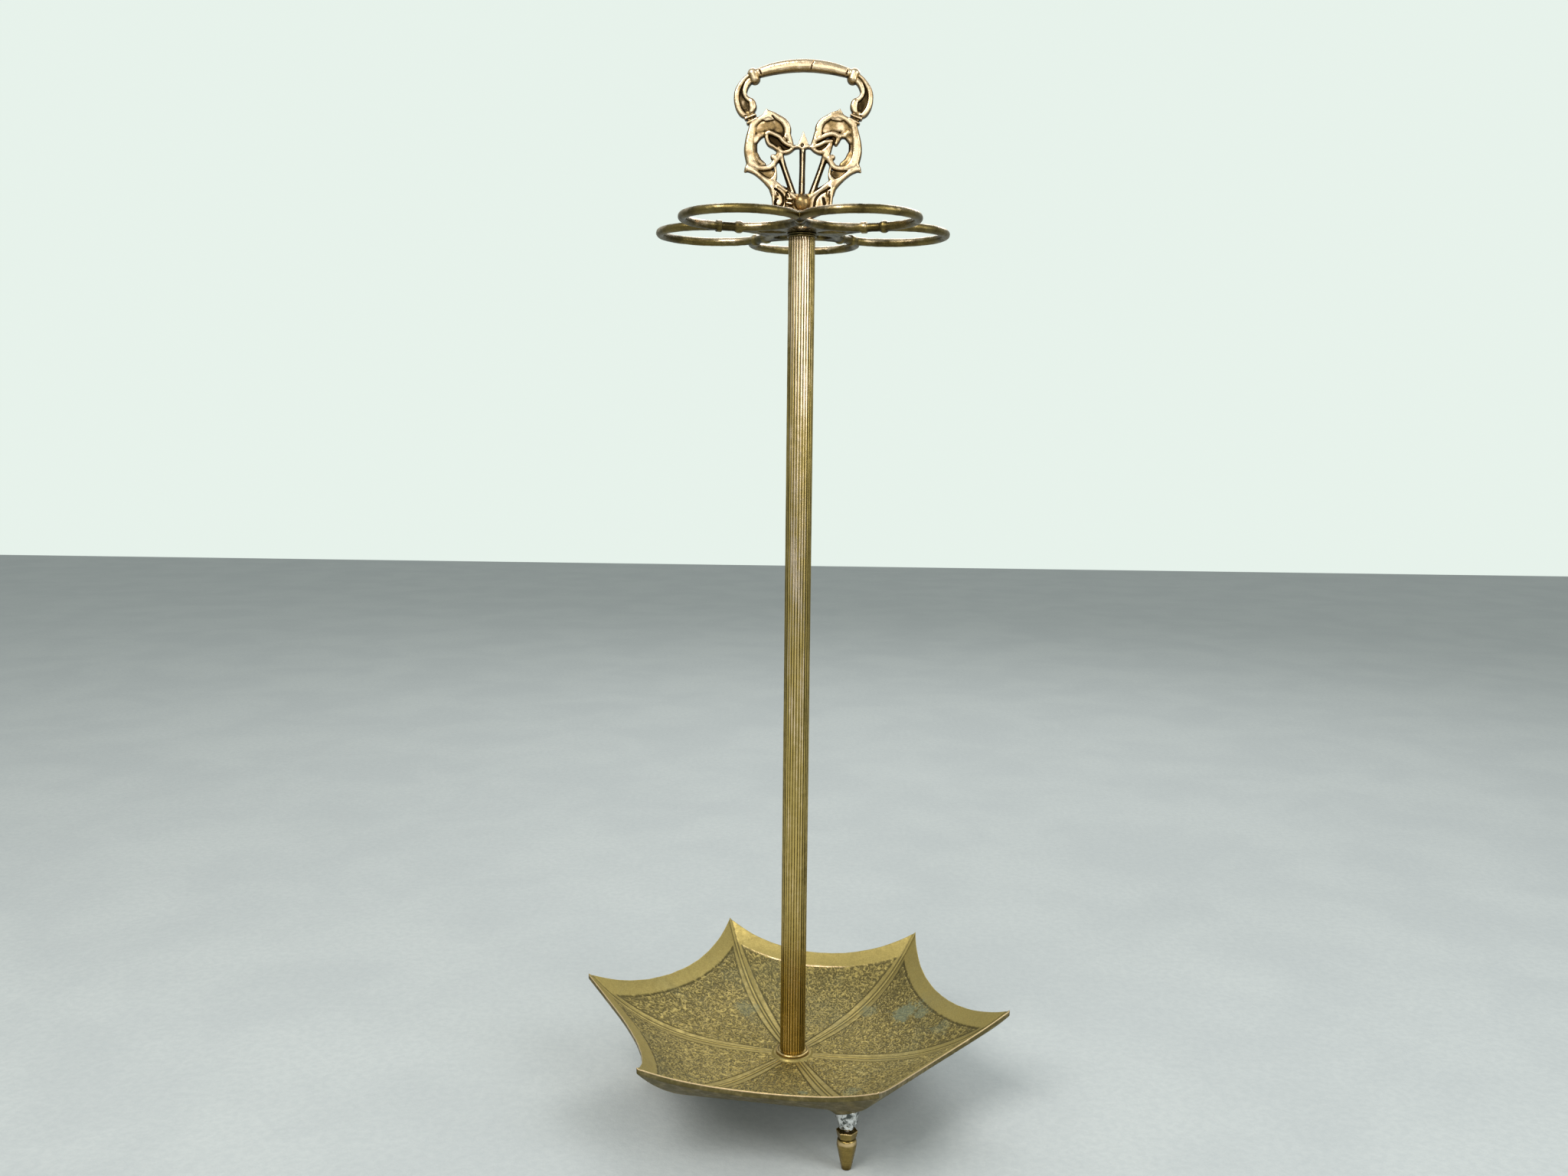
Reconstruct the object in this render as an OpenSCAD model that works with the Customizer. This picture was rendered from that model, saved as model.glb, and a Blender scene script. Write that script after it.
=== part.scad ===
// Umbrella stand: an upturned-umbrella drip tray on three feet, a reeded post,
// a five-ring rack and an openwork carrying handle, all brass.
// Millimetres, +Z up. The origin is on the post's axis, at floor level.
// The back ring of the rack points along +Y, and the handle lies in the XZ plane.

/* [Overall] */
// Height from the floor to the top of the grip
total_h = 755; // [700:1:820]
// Radial gap round every rod and stud in its hole
clearance = 0.05; // [0.02:0.01:0.1]

/* [Drip tray] */
// Radius from the post's axis to each of the six tips
tray_tip_r = 161; // [150:1:170]
// Radius to the middle of each scalloped edge
tray_edge_r = 122; // [116:1:128]
// Height of the tray's inside at its centre
tray_floor_z = 31.5; // [30:0.5:34]
// How far the tips rise above the centre
tray_rise = 49; // [40:1:55]
// How sharply the tray curls up towards its tips
tray_curl = 3.35; // [2.5:0.05:4]
// Thickness of the casting, measured upright
tray_t = 3.8; // [3:0.1:5]
// Turn of the first rib about the post, from +X
tray_turn = -8.4; // [-30:0.1:30]
// Radius of the pad that the post stands on
tray_pad_r = 14.5; // [14:0.5:20]

/* [Feet] */
// Radius of the circle that the feet stand on
foot_circle_r = 108.9; // [95:0.5:115]
// Height of a foot
foot_h = 27.9; // [26:0.1:29]
// Radius of a foot where it meets the floor
foot_tip_r = 3.5; // [3:0.1:5]
// Radius of a foot at its shoulder
foot_shoulder_r = 6.9; // [6:0.1:8]
// Radius over the corners of the flared six-sided top
foot_flare_r = 7.6; // [7:0.1:9]
// Radius of the threaded stud that holds each foot
stud_r = 2; // [1.5:0.1:2.5]

/* [Post] */
// Outside radius of the reeded tube, over the reeds
post_r = 9.5; // [9:0.1:10.5]
// Number of reeds round the tube
reeds = 28; // [20:1:32]
// Depth of the groove between two reeds
reed_depth = 0.55; // [0.3:0.05:0.7]
// Radius of the tube's bore
post_bore_r = 8; // [7.5:0.1:8.3]
// Radius of the flange at the foot of the post
base_flange_r = 12.7; // [11:0.1:14]
// Radius of the flange at the top of the post
top_flange_r = 10.6; // [10:0.1:11.3]

/* [Ring rack] */
// Distance from the post's axis to each ring's centre
ring_centre_r = 66.6; // [66:0.1:68]
// Radius of a ring, to the middle of its bar
ring_r = 39; // [38.5:0.1:39.5]
// Radius of the round bar that the rings are made of
ring_bar_r = 3.1; // [2.8:0.1:3.5]
// Thickness of the web that joins the rings at the post
web_t = 4.2; // [3.5:0.1:5]
// Radius of the beads where two rings meet
bead_r = 4.1; // [3.6:0.1:4.5]

/* [Handle] */
// Half width of the loop, at its widest
loop_half_w = 48.6; // [46:0.2:52]
// Radius of the grip's round bar
grip_r = 4.35; // [4:0.05:5]
// Radius of the curve that the grip follows
grip_arc_r = 98; // [90:1:110]
// Thickness of the scrolls, front to back
scroll_t = 8; // [6:0.5:10]
// Thickness of the thin spokes, front to back
spoke_t = 5; // [4:0.5:6]

/* [Tie rod] */
// Radius of the steel rod that clamps the stand together
rod_r = 3; // [2.5:0.1:3.5]
// Thickness of the washer under the tray
washer_t = 1.5; // [1:0.1:2.5]
// Thickness of the nut under the tray
nut_t = 5; // [4:0.1:6]

/* [Hidden] */

$fn = 64;
eps = 0.01;
tips = 6;
rings = 5;

// Colours
cast_brass = [0.60, 0.51, 0.27];
bright_brass = [0.84, 0.72, 0.47];
dark_brass = [0.43, 0.36, 0.16];
tube_brass = [0.50, 0.40, 0.15];
solder_grey = [0.76, 0.76, 0.74];
steel_grey = [0.55, 0.55, 0.56];

// Heights, from the top of the grip down to the floor
grip_top_z = total_h;
rack_z = total_h - 115.7;
web_bottom_z = rack_z - 2.3;
web_top_z = web_bottom_z + web_t;
top_flange_t = 2.7;
post_top_z = web_bottom_z - top_flange_t;
tray_pad_z = tray_floor_z + 2.1;
base_flange_t = 2.2;
post_bottom_z = tray_pad_z + base_flange_t;
tray_pad_bottom_z = tray_floor_z - tray_t - 1;

// Spigots that centre the tube on its two collars
spigot_r = post_bore_r - clearance;
spigot_l = 9;

// Every hole that the tie rod passes through
rod_hole_r = rod_r + 0.3;

// Foot places: under every other rib, first the front one
function rib_angle(k) = tray_turn + k * 360 / tips;
foot_angles = [rib_angle(5), rib_angle(1), rib_angle(3)];
foot_socket_l = 9;
// The front foot's boss has broken off under the tray, and solder takes its place
boss_break_z = 40.2;
solder_bottom_z = foot_h + 2;
stud_top_z = tray_floor_z + 9.5;
stud_bottom_z = foot_h - foot_socket_l + 1;

// ---------------------------------------------------------------- tray

panel_reach = tray_tip_r * cos(180 / tips);
half_side = tray_tip_r * sin(180 / tips);
hollow = panel_reach - tray_edge_r;
edge_arc_r = (pow(half_side, 2) + pow(hollow, 2)) / (2 * hollow);
edge_arc_centre = tray_edge_r + edge_arc_r;

// Steps of the tray's mesh, across each panel and from the centre to the edge
panel_steps = 10;
radial_steps = 12;
round_steps = tips * panel_steps;

// Height of the tray's inside at distance a from the axis, square to an edge
function tray_z(a) = tray_floor_z + tray_rise * pow(max(a, 0) / panel_reach, tray_curl);

// Radius of the scalloped edge at angle t from the middle of a panel
function edge_r(t) =
    edge_arc_centre * cos(t) - sqrt(pow(edge_arc_r, 2) - pow(edge_arc_centre * sin(t), 2));

// Angle from the middle of its panel of the mesh's line j, counted from the first rib
function panel_angle(j) = (j % panel_steps) * 360 / round_steps - 180 / tips;

// A point of the inside surface on line j, at share s of the way out to the edge
function tray_point(j, s) =
    let (
        t = panel_angle(j),
        r = s * edge_r(t),
        turn = tray_turn + j * 360 / round_steps
    )
    [r * cos(turn), r * sin(turn), tray_z(r * cos(t))];

// The bowl of even thickness: six panels, each bent in one direction only, which
// meet in creases along the ribs
module tray_shell() {
    n = round_steps;
    layer = 1 + n * radial_steps;
    top = concat(
        [[0, 0, tray_floor_z]],
        [for (i = [1 : radial_steps], j = [0 : n - 1]) tray_point(j, i / radial_steps)]);
    under = [for (p = top) p - [0, 0, tray_t]];
    function at(i, j) = 1 + (i - 1) * n + j % n;
    centre_top = [for (j = [0 : n - 1]) [0, at(1, j + 1), at(1, j)]];
    bands_top = [for (i = [1 : radial_steps - 1], j = [0 : n - 1], half = [0, 1])
        half == 0
            ? [at(i, j), at(i, j + 1), at(i + 1, j + 1)]
            : [at(i, j), at(i + 1, j + 1), at(i + 1, j)]];
    tops = concat(centre_top, bands_top);
    unders = [for (f = tops) [f[2] + layer, f[1] + layer, f[0] + layer]];
    rim = [for (j = [0 : n - 1], half = [0, 1])
        let (p = at(radial_steps, j), q = at(radial_steps, j + 1))
        half == 0 ? [p, q, q + layer] : [p, q + layer, p + layer]];
    polyhedron(points = concat(top, under), faces = concat(tops, unders, rim));
}

module at_foot(angle) {
    translate([foot_circle_r * cos(angle), foot_circle_r * sin(angle), 0])
        rotate([0, 0, angle])
            children();
}

// Height and slope of the tray's inside on a rib, over a foot
foot_tray_z = tray_z(foot_circle_r * cos(180 / tips));
foot_slope = atan(tray_curl * (foot_tray_z - tray_floor_z) / foot_circle_r);

// All that lies under a plane at height z on a foot's axis, with the rib's slope
module below_slope(z) {
    translate([0, 0, z])
        rotate([0, -foot_slope, 0])
            translate([-40, -40, -60])
                cube([80, 80, 60]);
}

// The flared boss cast under the tray for one foot. Its top is cut off inside the
// casting's thickness.
module foot_boss(angle) {
    low_r = 5.2;
    flare = [[8.4, 39.5], [9.4, 41.3], [11, 43.3], [13.5, 45.4]];
    at_foot(angle)
        intersection() {
            rotate_extrude()
                polygon(concat(
                    [[0, foot_h], [low_r, foot_h]],
                    flare,
                    [[13.5, foot_tray_z + 10], [0, foot_tray_z + 10]]));
            below_slope(foot_tray_z - 0.5);
        }
}

module tray() {
    color(cast_brass)
        difference() {
            union() {
                tray_shell();
                translate([0, 0, tray_pad_bottom_z])
                    cylinder(r = tray_pad_r, h = tray_pad_z - tray_pad_bottom_z);
                difference() {
                    foot_boss(foot_angles[0]);
                    at_foot(foot_angles[0])
                        below_slope(boss_break_z);
                }
                foot_boss(foot_angles[1]);
                foot_boss(foot_angles[2]);
            }
            translate([0, 0, tray_pad_bottom_z - 1])
                cylinder(r = rod_hole_r, h = 12);
            for (a = foot_angles)
                at_foot(a)
                    translate([0, 0, foot_h - 1])
                        cylinder(r = stud_r + clearance, h = stud_top_z - foot_h + 1);
        }
}

// ---------------------------------------------------------------- feet

// A turned foot: a tapered peg, a rounded shoulder, a groove and a six-sided flare
module foot(angle) {
    shoulder_z = foot_h * 0.64;
    groove_z = foot_h * 0.80;
    flare_z = foot_h * 0.83;
    groove_r = foot_shoulder_r - 0.8;
    shoulder_steps = 6;
    shoulder = [for (i = [0 : shoulder_steps])
        let (t = 90 * i / shoulder_steps)
        [groove_r + (foot_shoulder_r - groove_r) * cos(t),
         shoulder_z + (groove_z - shoulder_z) * sin(t)]];
    color(tube_brass)
        at_foot(angle)
            difference() {
                union() {
                    rotate_extrude()
                        polygon(concat(
                            [[0, 0], [foot_tip_r, 0]],
                            shoulder,
                            [[groove_r, flare_z + 1], [0, flare_z + 1]]));
                    intersection() {
                        translate([0, 0, flare_z])
                            cylinder(r = foot_flare_r, h = foot_h - flare_z, $fn = 6);
                        translate([0, 0, flare_z])
                            cylinder(r1 = foot_shoulder_r - 0.3, r2 = foot_flare_r,
                                     h = foot_h - flare_z);
                    }
                }
                translate([0, 0, foot_h - foot_socket_l])
                    cylinder(r = stud_r + clearance, h = foot_socket_l + 1);
            }
}

module foot_front() { foot(foot_angles[0]); }
module foot_rear() { foot(foot_angles[1]); }
module foot_left() { foot(foot_angles[2]); }

module foot_studs() {
    color(steel_grey)
        for (a = foot_angles)
            at_foot(a)
                translate([0, 0, stud_bottom_z])
                    cylinder(r = stud_r, h = stud_top_z - stud_bottom_z - 0.5);
}

// The lump of solder that mends the front foot's broken boss
module solder_repair() {
    neck_r = 5.3;
    collar_r = 9;
    collar_z = foot_tray_z;
    lump_r = 2.4;
    color(solder_grey)
        at_foot(foot_angles[0])
            difference() {
                intersection() {
                    union() {
                        translate([0, 0, solder_bottom_z])
                            cylinder(r1 = neck_r, r2 = collar_r, h = collar_z - solder_bottom_z);
                        for (a = [20, 135, 250])
                            rotate([0, 0, a])
                                translate([neck_r - 0.4, 0, solder_bottom_z + 3.4])
                                    sphere(r = lump_r, $fn = 32);
                    }
                    below_slope(boss_break_z);
                }
                translate([0, 0, solder_bottom_z - 1])
                    cylinder(r = stud_r + clearance, h = 16);
            }
}

// ---------------------------------------------------------------- post

// A round flange with a spigot that fits the tube, bored for the tie rod
module collar(flange_r, flange_t, spigot_up) {
    spigot_z = spigot_up ? flange_t - eps : -spigot_l;
    difference() {
        union() {
            cylinder(r = flange_r, h = flange_t);
            translate([0, 0, spigot_z])
                cylinder(r = spigot_r, h = spigot_l + eps);
        }
        translate([0, 0, -spigot_l - 1])
            cylinder(r = rod_hole_r, h = flange_t + 2 * spigot_l + 2);
    }
}

module base_collar() {
    color(tube_brass)
        translate([0, 0, tray_pad_z])
            collar(base_flange_r, base_flange_t, true);
}

module top_collar() {
    color(dark_brass)
        translate([0, 0, post_top_z])
            collar(top_flange_r, top_flange_t, false);
}

// Radius of the reeded outline: a row of half-round reeds
function reed_outline_r(angle) =
    post_r - reed_depth * (1 - abs(sin(angle * reeds / 2)));

module post_tube() {
    steps = reeds * 6;
    outline = [for (i = [0 : steps - 1])
        let (a = 360 * i / steps, r = reed_outline_r(a))
        [r * cos(a), r * sin(a)]];
    color(tube_brass)
        difference() {
            translate([0, 0, post_bottom_z])
                linear_extrude(height = post_top_z - post_bottom_z)
                    polygon(outline);
            translate([0, 0, post_bottom_z - 1])
                cylinder(r = post_bore_r, h = post_top_z - post_bottom_z + 2);
        }
}

// ---------------------------------------------------------------- rack

function ring_angle(k) = 90 + k * 360 / rings;

// An egg-shaped hole in the web, narrow end towards the post
module web_hole() {
    inner = 11.8;
    outer = 32;
    half_w = 5.6;
    egg = [for (t = [0 : 10 : 350])
        [(inner + outer) / 2 + (outer - inner) / 2 * cos(t),
         half_w * (1 + 0.2 * cos(t)) * sin(t)]];
    polygon(egg);
}

module web() {
    reach = 50;
    translate([0, 0, web_bottom_z])
        linear_extrude(height = web_t)
            difference() {
                circle(r = reach);
                for (k = [0 : rings - 1]) {
                    rotate([0, 0, ring_angle(k)])
                        translate([ring_centre_r, 0])
                            circle(r = ring_r, $fn = 96);
                    rotate([0, 0, ring_angle(k + 0.5)])
                        web_hole();
                }
                circle(r = rod_hole_r);
            }
}

module ring_rack() {
    bead_places = [45.6, 60];
    color(dark_brass)
        union() {
            web();
            for (k = [0 : rings - 1]) {
                rotate([0, 0, ring_angle(k)])
                    translate([ring_centre_r, 0, rack_z])
                        rotate_extrude($fn = 96)
                            translate([ring_r, 0])
                                circle(r = ring_bar_r, $fn = 32);
                rotate([0, 0, ring_angle(k + 0.5)])
                    for (r = bead_places)
                        translate([r, 0, rack_z])
                            sphere(r = bead_r, $fn = 32);
            }
        }
}

// ---------------------------------------------------------------- handle

// Heights in the handle are measured down from the top of the grip
function on_handle(x, down) = [x, grip_top_z - down];

// The same with the width of a bar there
function handle_pt(x, down, w) = [x, grip_top_z - down, w];

// A point at t along a smooth curve through pts, where t runs from 0 to len - 1
function curve_point(pts, t) =
    let (
        n = len(pts) - 1,
        i = min(floor(t), n - 1),
        u = t - i,
        b = pts[i],
        c = pts[i + 1],
        a = i > 0 ? pts[i - 1] : 2 * b - c,
        d = i < n - 1 ? pts[i + 2] : 2 * c - b
    )
    0.5 * (2 * b + (c - a) * u + (2 * a - 5 * b + 4 * c - d) * u * u
           + (3 * b - a - 3 * c + d) * u * u * u);

// A bar drawn along a curve. Each point is [x, z, width].
module stroke(pts, steps = 5) {
    n = (len(pts) - 1) * steps;
    path = [for (i = [0 : n]) curve_point(pts, i / steps)];
    function side(i) =
        let (
            p = path[max(i - 1, 0)],
            q = path[min(i + 1, n)],
            d = [q[0] - p[0], q[1] - p[1]]
        )
        [-d[1], d[0]] / norm(d);
    function edge(i, way) = [path[i][0], path[i][1]] + side(i) * way * path[i][2] / 2;
    polygon(concat(
        [for (i = [0 : n]) edge(i, 1)],
        [for (i = [n : -1 : 0]) edge(i, -1)]));
}

// Stands a flat shape up in the XZ plane, with the given thickness
module plate(t) {
    rotate([90, 0, 0])
        linear_extrude(height = t, center = true)
            children();
}

module both_sides() {
    children();
    mirror([1, 0, 0])
        children();
}

// Places on the left half of the handle; the right half mirrors them
ball_x = -34.5;
ball_down = 10.6;
ball_r = 4.6;
knob_x = -36.5;
knob_down = 30;
knob_r = 4.2;
eye_down = 97;

module arm_outline() {
    stroke([
        handle_pt(ball_x, ball_down, 6),
        handle_pt(-loop_half_w + 7.2, 17.5, 7.6),
        handle_pt(-loop_half_w + 4.3, 25.5, 8.4),
        handle_pt(-loop_half_w + 6.4, 33.5, 9),
        handle_pt(-36.6, 40.7, 6)
    ]);
}

// The leafy scroll: its back, its curled crest with a tip, and its two lower lips
module scroll_outline() {
    stroke([
        handle_pt(-36.6, 40.7, 6),
        handle_pt(-35.4, 50, 10),
        handle_pt(-36.6, 59, 8.8),
        handle_pt(-35.2, 68, 9.4),
        handle_pt(-30, 74, 8.4),
        handle_pt(-22.5, 74.2, 6.6),
        handle_pt(-18, 69, 5.4),
        handle_pt(-16.6, 64, 4.4)
    ]);
    stroke([
        handle_pt(-35, 47, 9),
        handle_pt(-27, 43, 11.6),
        handle_pt(-18, 43.6, 13),
        handle_pt(-12.6, 49, 10.4),
        handle_pt(-9.6, 55, 5.6),
        handle_pt(-3, 59, 4)
    ]);
    stroke([
        handle_pt(-24.6, 50.5, 8),
        handle_pt(-20, 57, 6.4),
        handle_pt(-14.4, 62, 7),
        handle_pt(-7, 62, 4),
        handle_pt(-1, 59.6, 3.4)
    ]);
    polygon([on_handle(-31, 40), on_handle(-25.5, 33.6), on_handle(-15, 39), on_handle(-22, 46)]);
    polygon([on_handle(-40.6, 69), on_handle(-40.4, 75.6), on_handle(-31, 76)]);
    stroke([
        handle_pt(-33, 74.5, 5),
        handle_pt(-26, 80, 5.6),
        handle_pt(-20.6, 86.5, 4.6)
    ]);
}

module spoke_outline() {
    stroke([handle_pt(-16.4, 63, 3.2), handle_pt(-6, 95, 2.8)]);
    stroke([handle_pt(-20, 83, 3), handle_pt(-7, 93.5, 2.6)]);
}

// The foot of the handle, which narrows to a neck that stands on the rack's web
module pedestal_outline() {
    foot_down = total_h - web_top_z;
    neck_down = 107;
    neck_half_w = 7;
    polygon([
        on_handle(-neck_half_w, foot_down), on_handle(-neck_half_w, neck_down),
        on_handle(-20.8, 102.6), on_handle(-20.8, 97),
        on_handle(-22, 87), on_handle(-19, 86),
        on_handle(-10, 92), on_handle(10, 92),
        on_handle(19, 86), on_handle(22, 87),
        on_handle(20.8, 97), on_handle(20.8, 102.6),
        on_handle(neck_half_w, neck_down), on_handle(neck_half_w, foot_down)
    ]);
}

module grip() {
    arc_half = asin(-ball_x / grip_arc_r);
    arc_z = grip_top_z - grip_r - grip_arc_r;
    translate([0, 0, arc_z])
        rotate([90, 0, 0])
            rotate([0, 0, 90 - arc_half])
                rotate_extrude(angle = 2 * arc_half, $fn = 180)
                    translate([grip_arc_r, 0])
                        circle(r = grip_r, $fn = 32);
}

module handle() {
    boss_r = 6.4;
    socket_l = 14;
    color(bright_brass)
        difference() {
            union() {
                grip();
                both_sides() {
                    translate([ball_x, 0, grip_top_z - ball_down])
                        sphere(r = ball_r, $fn = 32);
                    translate([knob_x, 0, grip_top_z - knob_down])
                        sphere(r = knob_r, $fn = 32);
                }
                plate(scroll_t)
                    both_sides() {
                        arm_outline();
                        scroll_outline();
                    }
                plate(spoke_t) {
                    both_sides()
                        spoke_outline();
                    stroke([handle_pt(0, 60, 3.4), handle_pt(0, 95, 3.2)]);
                    polygon([
                        on_handle(-4.8, 58.2), on_handle(0, 48.6),
                        on_handle(4.8, 58.2), on_handle(0, 65)
                    ]);
                }
                plate(scroll_t + 3)
                    pedestal_outline();
                translate([0, 0, grip_top_z - eye_down])
                    scale([1, 1.15, 1])
                        sphere(r = boss_r, $fn = 32);
            }
            translate([0, 0, web_top_z - 1])
                cylinder(r = rod_r + clearance, h = socket_l + 1);
        }
}

// ---------------------------------------------------------------- tie rod

rod_stickout = 3;
rod_bottom_z = tray_pad_bottom_z - washer_t - nut_t - rod_stickout;
rod_top_z = web_top_z + 13;

module tie_rod() {
    color(steel_grey)
        translate([0, 0, rod_bottom_z])
            cylinder(r = rod_r, h = rod_top_z - rod_bottom_z);
}

module tie_rod_washer() {
    color(steel_grey)
        translate([0, 0, tray_pad_bottom_z - washer_t])
            difference() {
                cylinder(r = 8.5, h = washer_t);
                translate([0, 0, -1])
                    cylinder(r = rod_hole_r, h = washer_t + 2);
            }
}

module tie_rod_nut() {
    nut_corner_r = 5.8;
    color(steel_grey)
        translate([0, 0, tray_pad_bottom_z - washer_t - nut_t])
            difference() {
                cylinder(r = nut_corner_r, h = nut_t, $fn = 6);
                translate([0, 0, -1])
                    cylinder(r = rod_r + clearance, h = nut_t + 2);
            }
}

tray();
foot_front();
foot_rear();
foot_left();
foot_studs();
solder_repair();
base_collar();
post_tube();
top_collar();
ring_rack();
handle();
tie_rod();
tie_rod_washer();
tie_rod_nut();
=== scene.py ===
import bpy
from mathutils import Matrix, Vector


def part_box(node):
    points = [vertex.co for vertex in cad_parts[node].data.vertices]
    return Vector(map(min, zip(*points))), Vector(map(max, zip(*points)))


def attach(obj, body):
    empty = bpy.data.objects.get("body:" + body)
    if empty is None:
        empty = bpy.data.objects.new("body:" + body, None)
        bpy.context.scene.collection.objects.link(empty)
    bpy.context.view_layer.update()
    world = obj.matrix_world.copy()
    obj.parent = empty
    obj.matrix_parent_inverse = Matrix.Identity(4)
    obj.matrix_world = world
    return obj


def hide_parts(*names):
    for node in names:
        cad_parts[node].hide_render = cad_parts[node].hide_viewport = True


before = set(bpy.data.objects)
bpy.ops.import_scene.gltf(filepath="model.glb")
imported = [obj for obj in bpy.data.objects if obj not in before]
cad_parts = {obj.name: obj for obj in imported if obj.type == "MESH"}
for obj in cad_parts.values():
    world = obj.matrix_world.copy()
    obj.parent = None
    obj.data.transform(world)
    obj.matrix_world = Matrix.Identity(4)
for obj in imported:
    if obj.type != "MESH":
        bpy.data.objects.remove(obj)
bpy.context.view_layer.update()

import itertools
import math

import bpy
import numpy as np
from mathutils import Matrix, Vector

MM = 0.001

# Sizes of the stand in millimetres, as the frame has them
TRAY_TURN = math.radians(-8.4)
TRAY_FLOOR_Z, TRAY_RISE, TRAY_CURL, TRAY_T = 31.5, 49.0, 3.35, 3.8
TRAY_TIP_R, TRAY_EDGE_R = 161.0, 122.0
PAD_R, PAD_TOP_Z, PAD_BOTTOM_Z = 14.5, 33.6, 26.7
BREAK_Z, RIB_SLOPE = 40.2, 0.406
FOOT_CIRCLE_R, FOOT_H = 108.9, 27.9
# The ribs, counted round from the first, that have a foot under them
FOOT_RIBS = {"foot_front": 5, "foot_rear": 1, "foot_left": 3}
STUD_R, STUD_Z0, STUD_Z1 = 2.0, 19.9, 40.5
ROD_R, ROD_HOLE_R, ROD_Z0, ROD_Z1 = 3.0, 3.3, 17.2, 654.2
NUT_Z0, NUT_Z1 = 20.2, 25.2
POST_R, POST_BORE_R, REEDS, REED_DEPTH = 9.5, 8.0, 28, 0.55
POST_Z0, POST_Z1 = 35.8, 634.3
RACK_Z, RING_CENTRE_R, RING_R, RING_BAR_R = 639.3, 66.6, 39.0, 3.1
WEB_Z0, WEB_Z1 = 637.0, 641.2
OUTER_BEAD_R, INNER_BEAD_R = 60.0, 45.6
GRIP_TOP_Z, HANDLE_BOSS_Z = 755.0, 658.0

# ---- Numbers

LATTICE = 64
lattices = {}


def noise(points, size, seed):
    """Smooth noise of about -1 to 1 at each point, in lumps of the given size. Each seed
    has a lattice of random slopes of its own."""
    if seed not in lattices:
        g = np.random.default_rng(seed).normal(size=(LATTICE, LATTICE, LATTICE, 3))
        lattices[seed] = g / np.linalg.norm(g, axis=-1, keepdims=True)
    g = lattices[seed]
    q = np.asarray(points, float) / size
    base = np.floor(q).astype(int)
    f = q - base
    u = f * f * f * (f * (f * 6 - 15) + 10)
    total = np.zeros(len(q))
    for corner in itertools.product((0, 1), repeat=3):
        c = np.array(corner)
        i = (base + c) % LATTICE
        weight = np.prod(np.where(c, u, 1 - u), axis=1)
        total += weight * np.sum(g[i[:, 0], i[:, 1], i[:, 2]] * (f - c), axis=1)
    return total * 1.6


def smoothstep(low, high, x):
    """Goes smoothly from 0 at low to 1 at high."""
    t = np.clip((x - low) / (high - low), 0, 1)
    return t * t * (3 - 2 * t)


def bell(x, half_width):
    """A smooth bump of height 1 that is gone at half_width from zero."""
    return np.clip(1 - (x / half_width) ** 2, 0, 1) ** 2


def on_plane(x, y):
    """Points at height 0, for noise that depends only on the place seen from above."""
    return np.stack([x, y, np.zeros_like(x)], -1)


def curve(points, steps):
    """Points along a smooth curve through the given rows."""
    p = np.asarray(points, float)
    p = np.vstack([2 * p[0] - p[1], p, 2 * p[-1] - p[-2]])
    made = []
    for i in range(1, len(p) - 2):
        a, b, c, d = p[i - 1], p[i], p[i + 1], p[i + 2]
        u = np.linspace(0, 1, steps, endpoint=False)[:, None]
        made.append(0.5 * (2 * b + (c - a) * u + (2 * a - 5 * b + 4 * c - d) * u ** 2
                           + (3 * b - a - 3 * c + d) * u ** 3))
    return np.vstack(made + [p[-2][None]])


# ---- Meshes


def add_piece(name, verts, quads, tris=(), values=None, sharp=None):
    """A mesh object from vertices in millimetres, with values stored per vertex."""
    quads = np.asarray(quads, np.int64).reshape(-1, 4)
    tris = np.asarray(tris, np.int64).reshape(-1, 3)
    mesh = bpy.data.meshes.new(name)
    mesh.vertices.add(len(verts))
    mesh.vertices.foreach_set("co", (np.asarray(verts, float) * MM).ravel())
    loops = np.concatenate([quads.ravel(), tris.ravel()])
    mesh.loops.add(len(loops))
    mesh.loops.foreach_set("vertex_index", loops)
    starts = np.concatenate([np.arange(len(quads)) * 4,
                             len(quads) * 4 + np.arange(len(tris)) * 3])
    mesh.polygons.add(len(starts))
    mesh.polygons.foreach_set("loop_start", starts)
    mesh.update(calc_edges=True)
    mesh.validate()
    for key, value in (values or {}).items():
        layer = mesh.attributes.new(key, "FLOAT", "POINT")
        layer.data.foreach_set("value", np.asarray(value, np.float32))
    mesh.shade_smooth()
    if sharp:
        mesh.set_sharp_from_angle(angle=math.radians(sharp))
    obj = bpy.data.objects.new(name, mesh)
    bpy.context.scene.collection.objects.link(obj)
    return obj


def grid_quads(rows, cols, wrap_rows=False):
    """Quads of a grid that closes round its columns, facing outward where its rows go up."""
    r = np.arange(rows if wrap_rows else rows - 1)[:, None]
    c = np.arange(cols)[None, :]
    a, b = r * cols + c, r * cols + (c + 1) % cols
    d, e = (r + 1) % rows * cols + c, (r + 1) % rows * cols + (c + 1) % cols
    return np.stack([a, b, e, d], -1).reshape(-1, 4)


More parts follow.
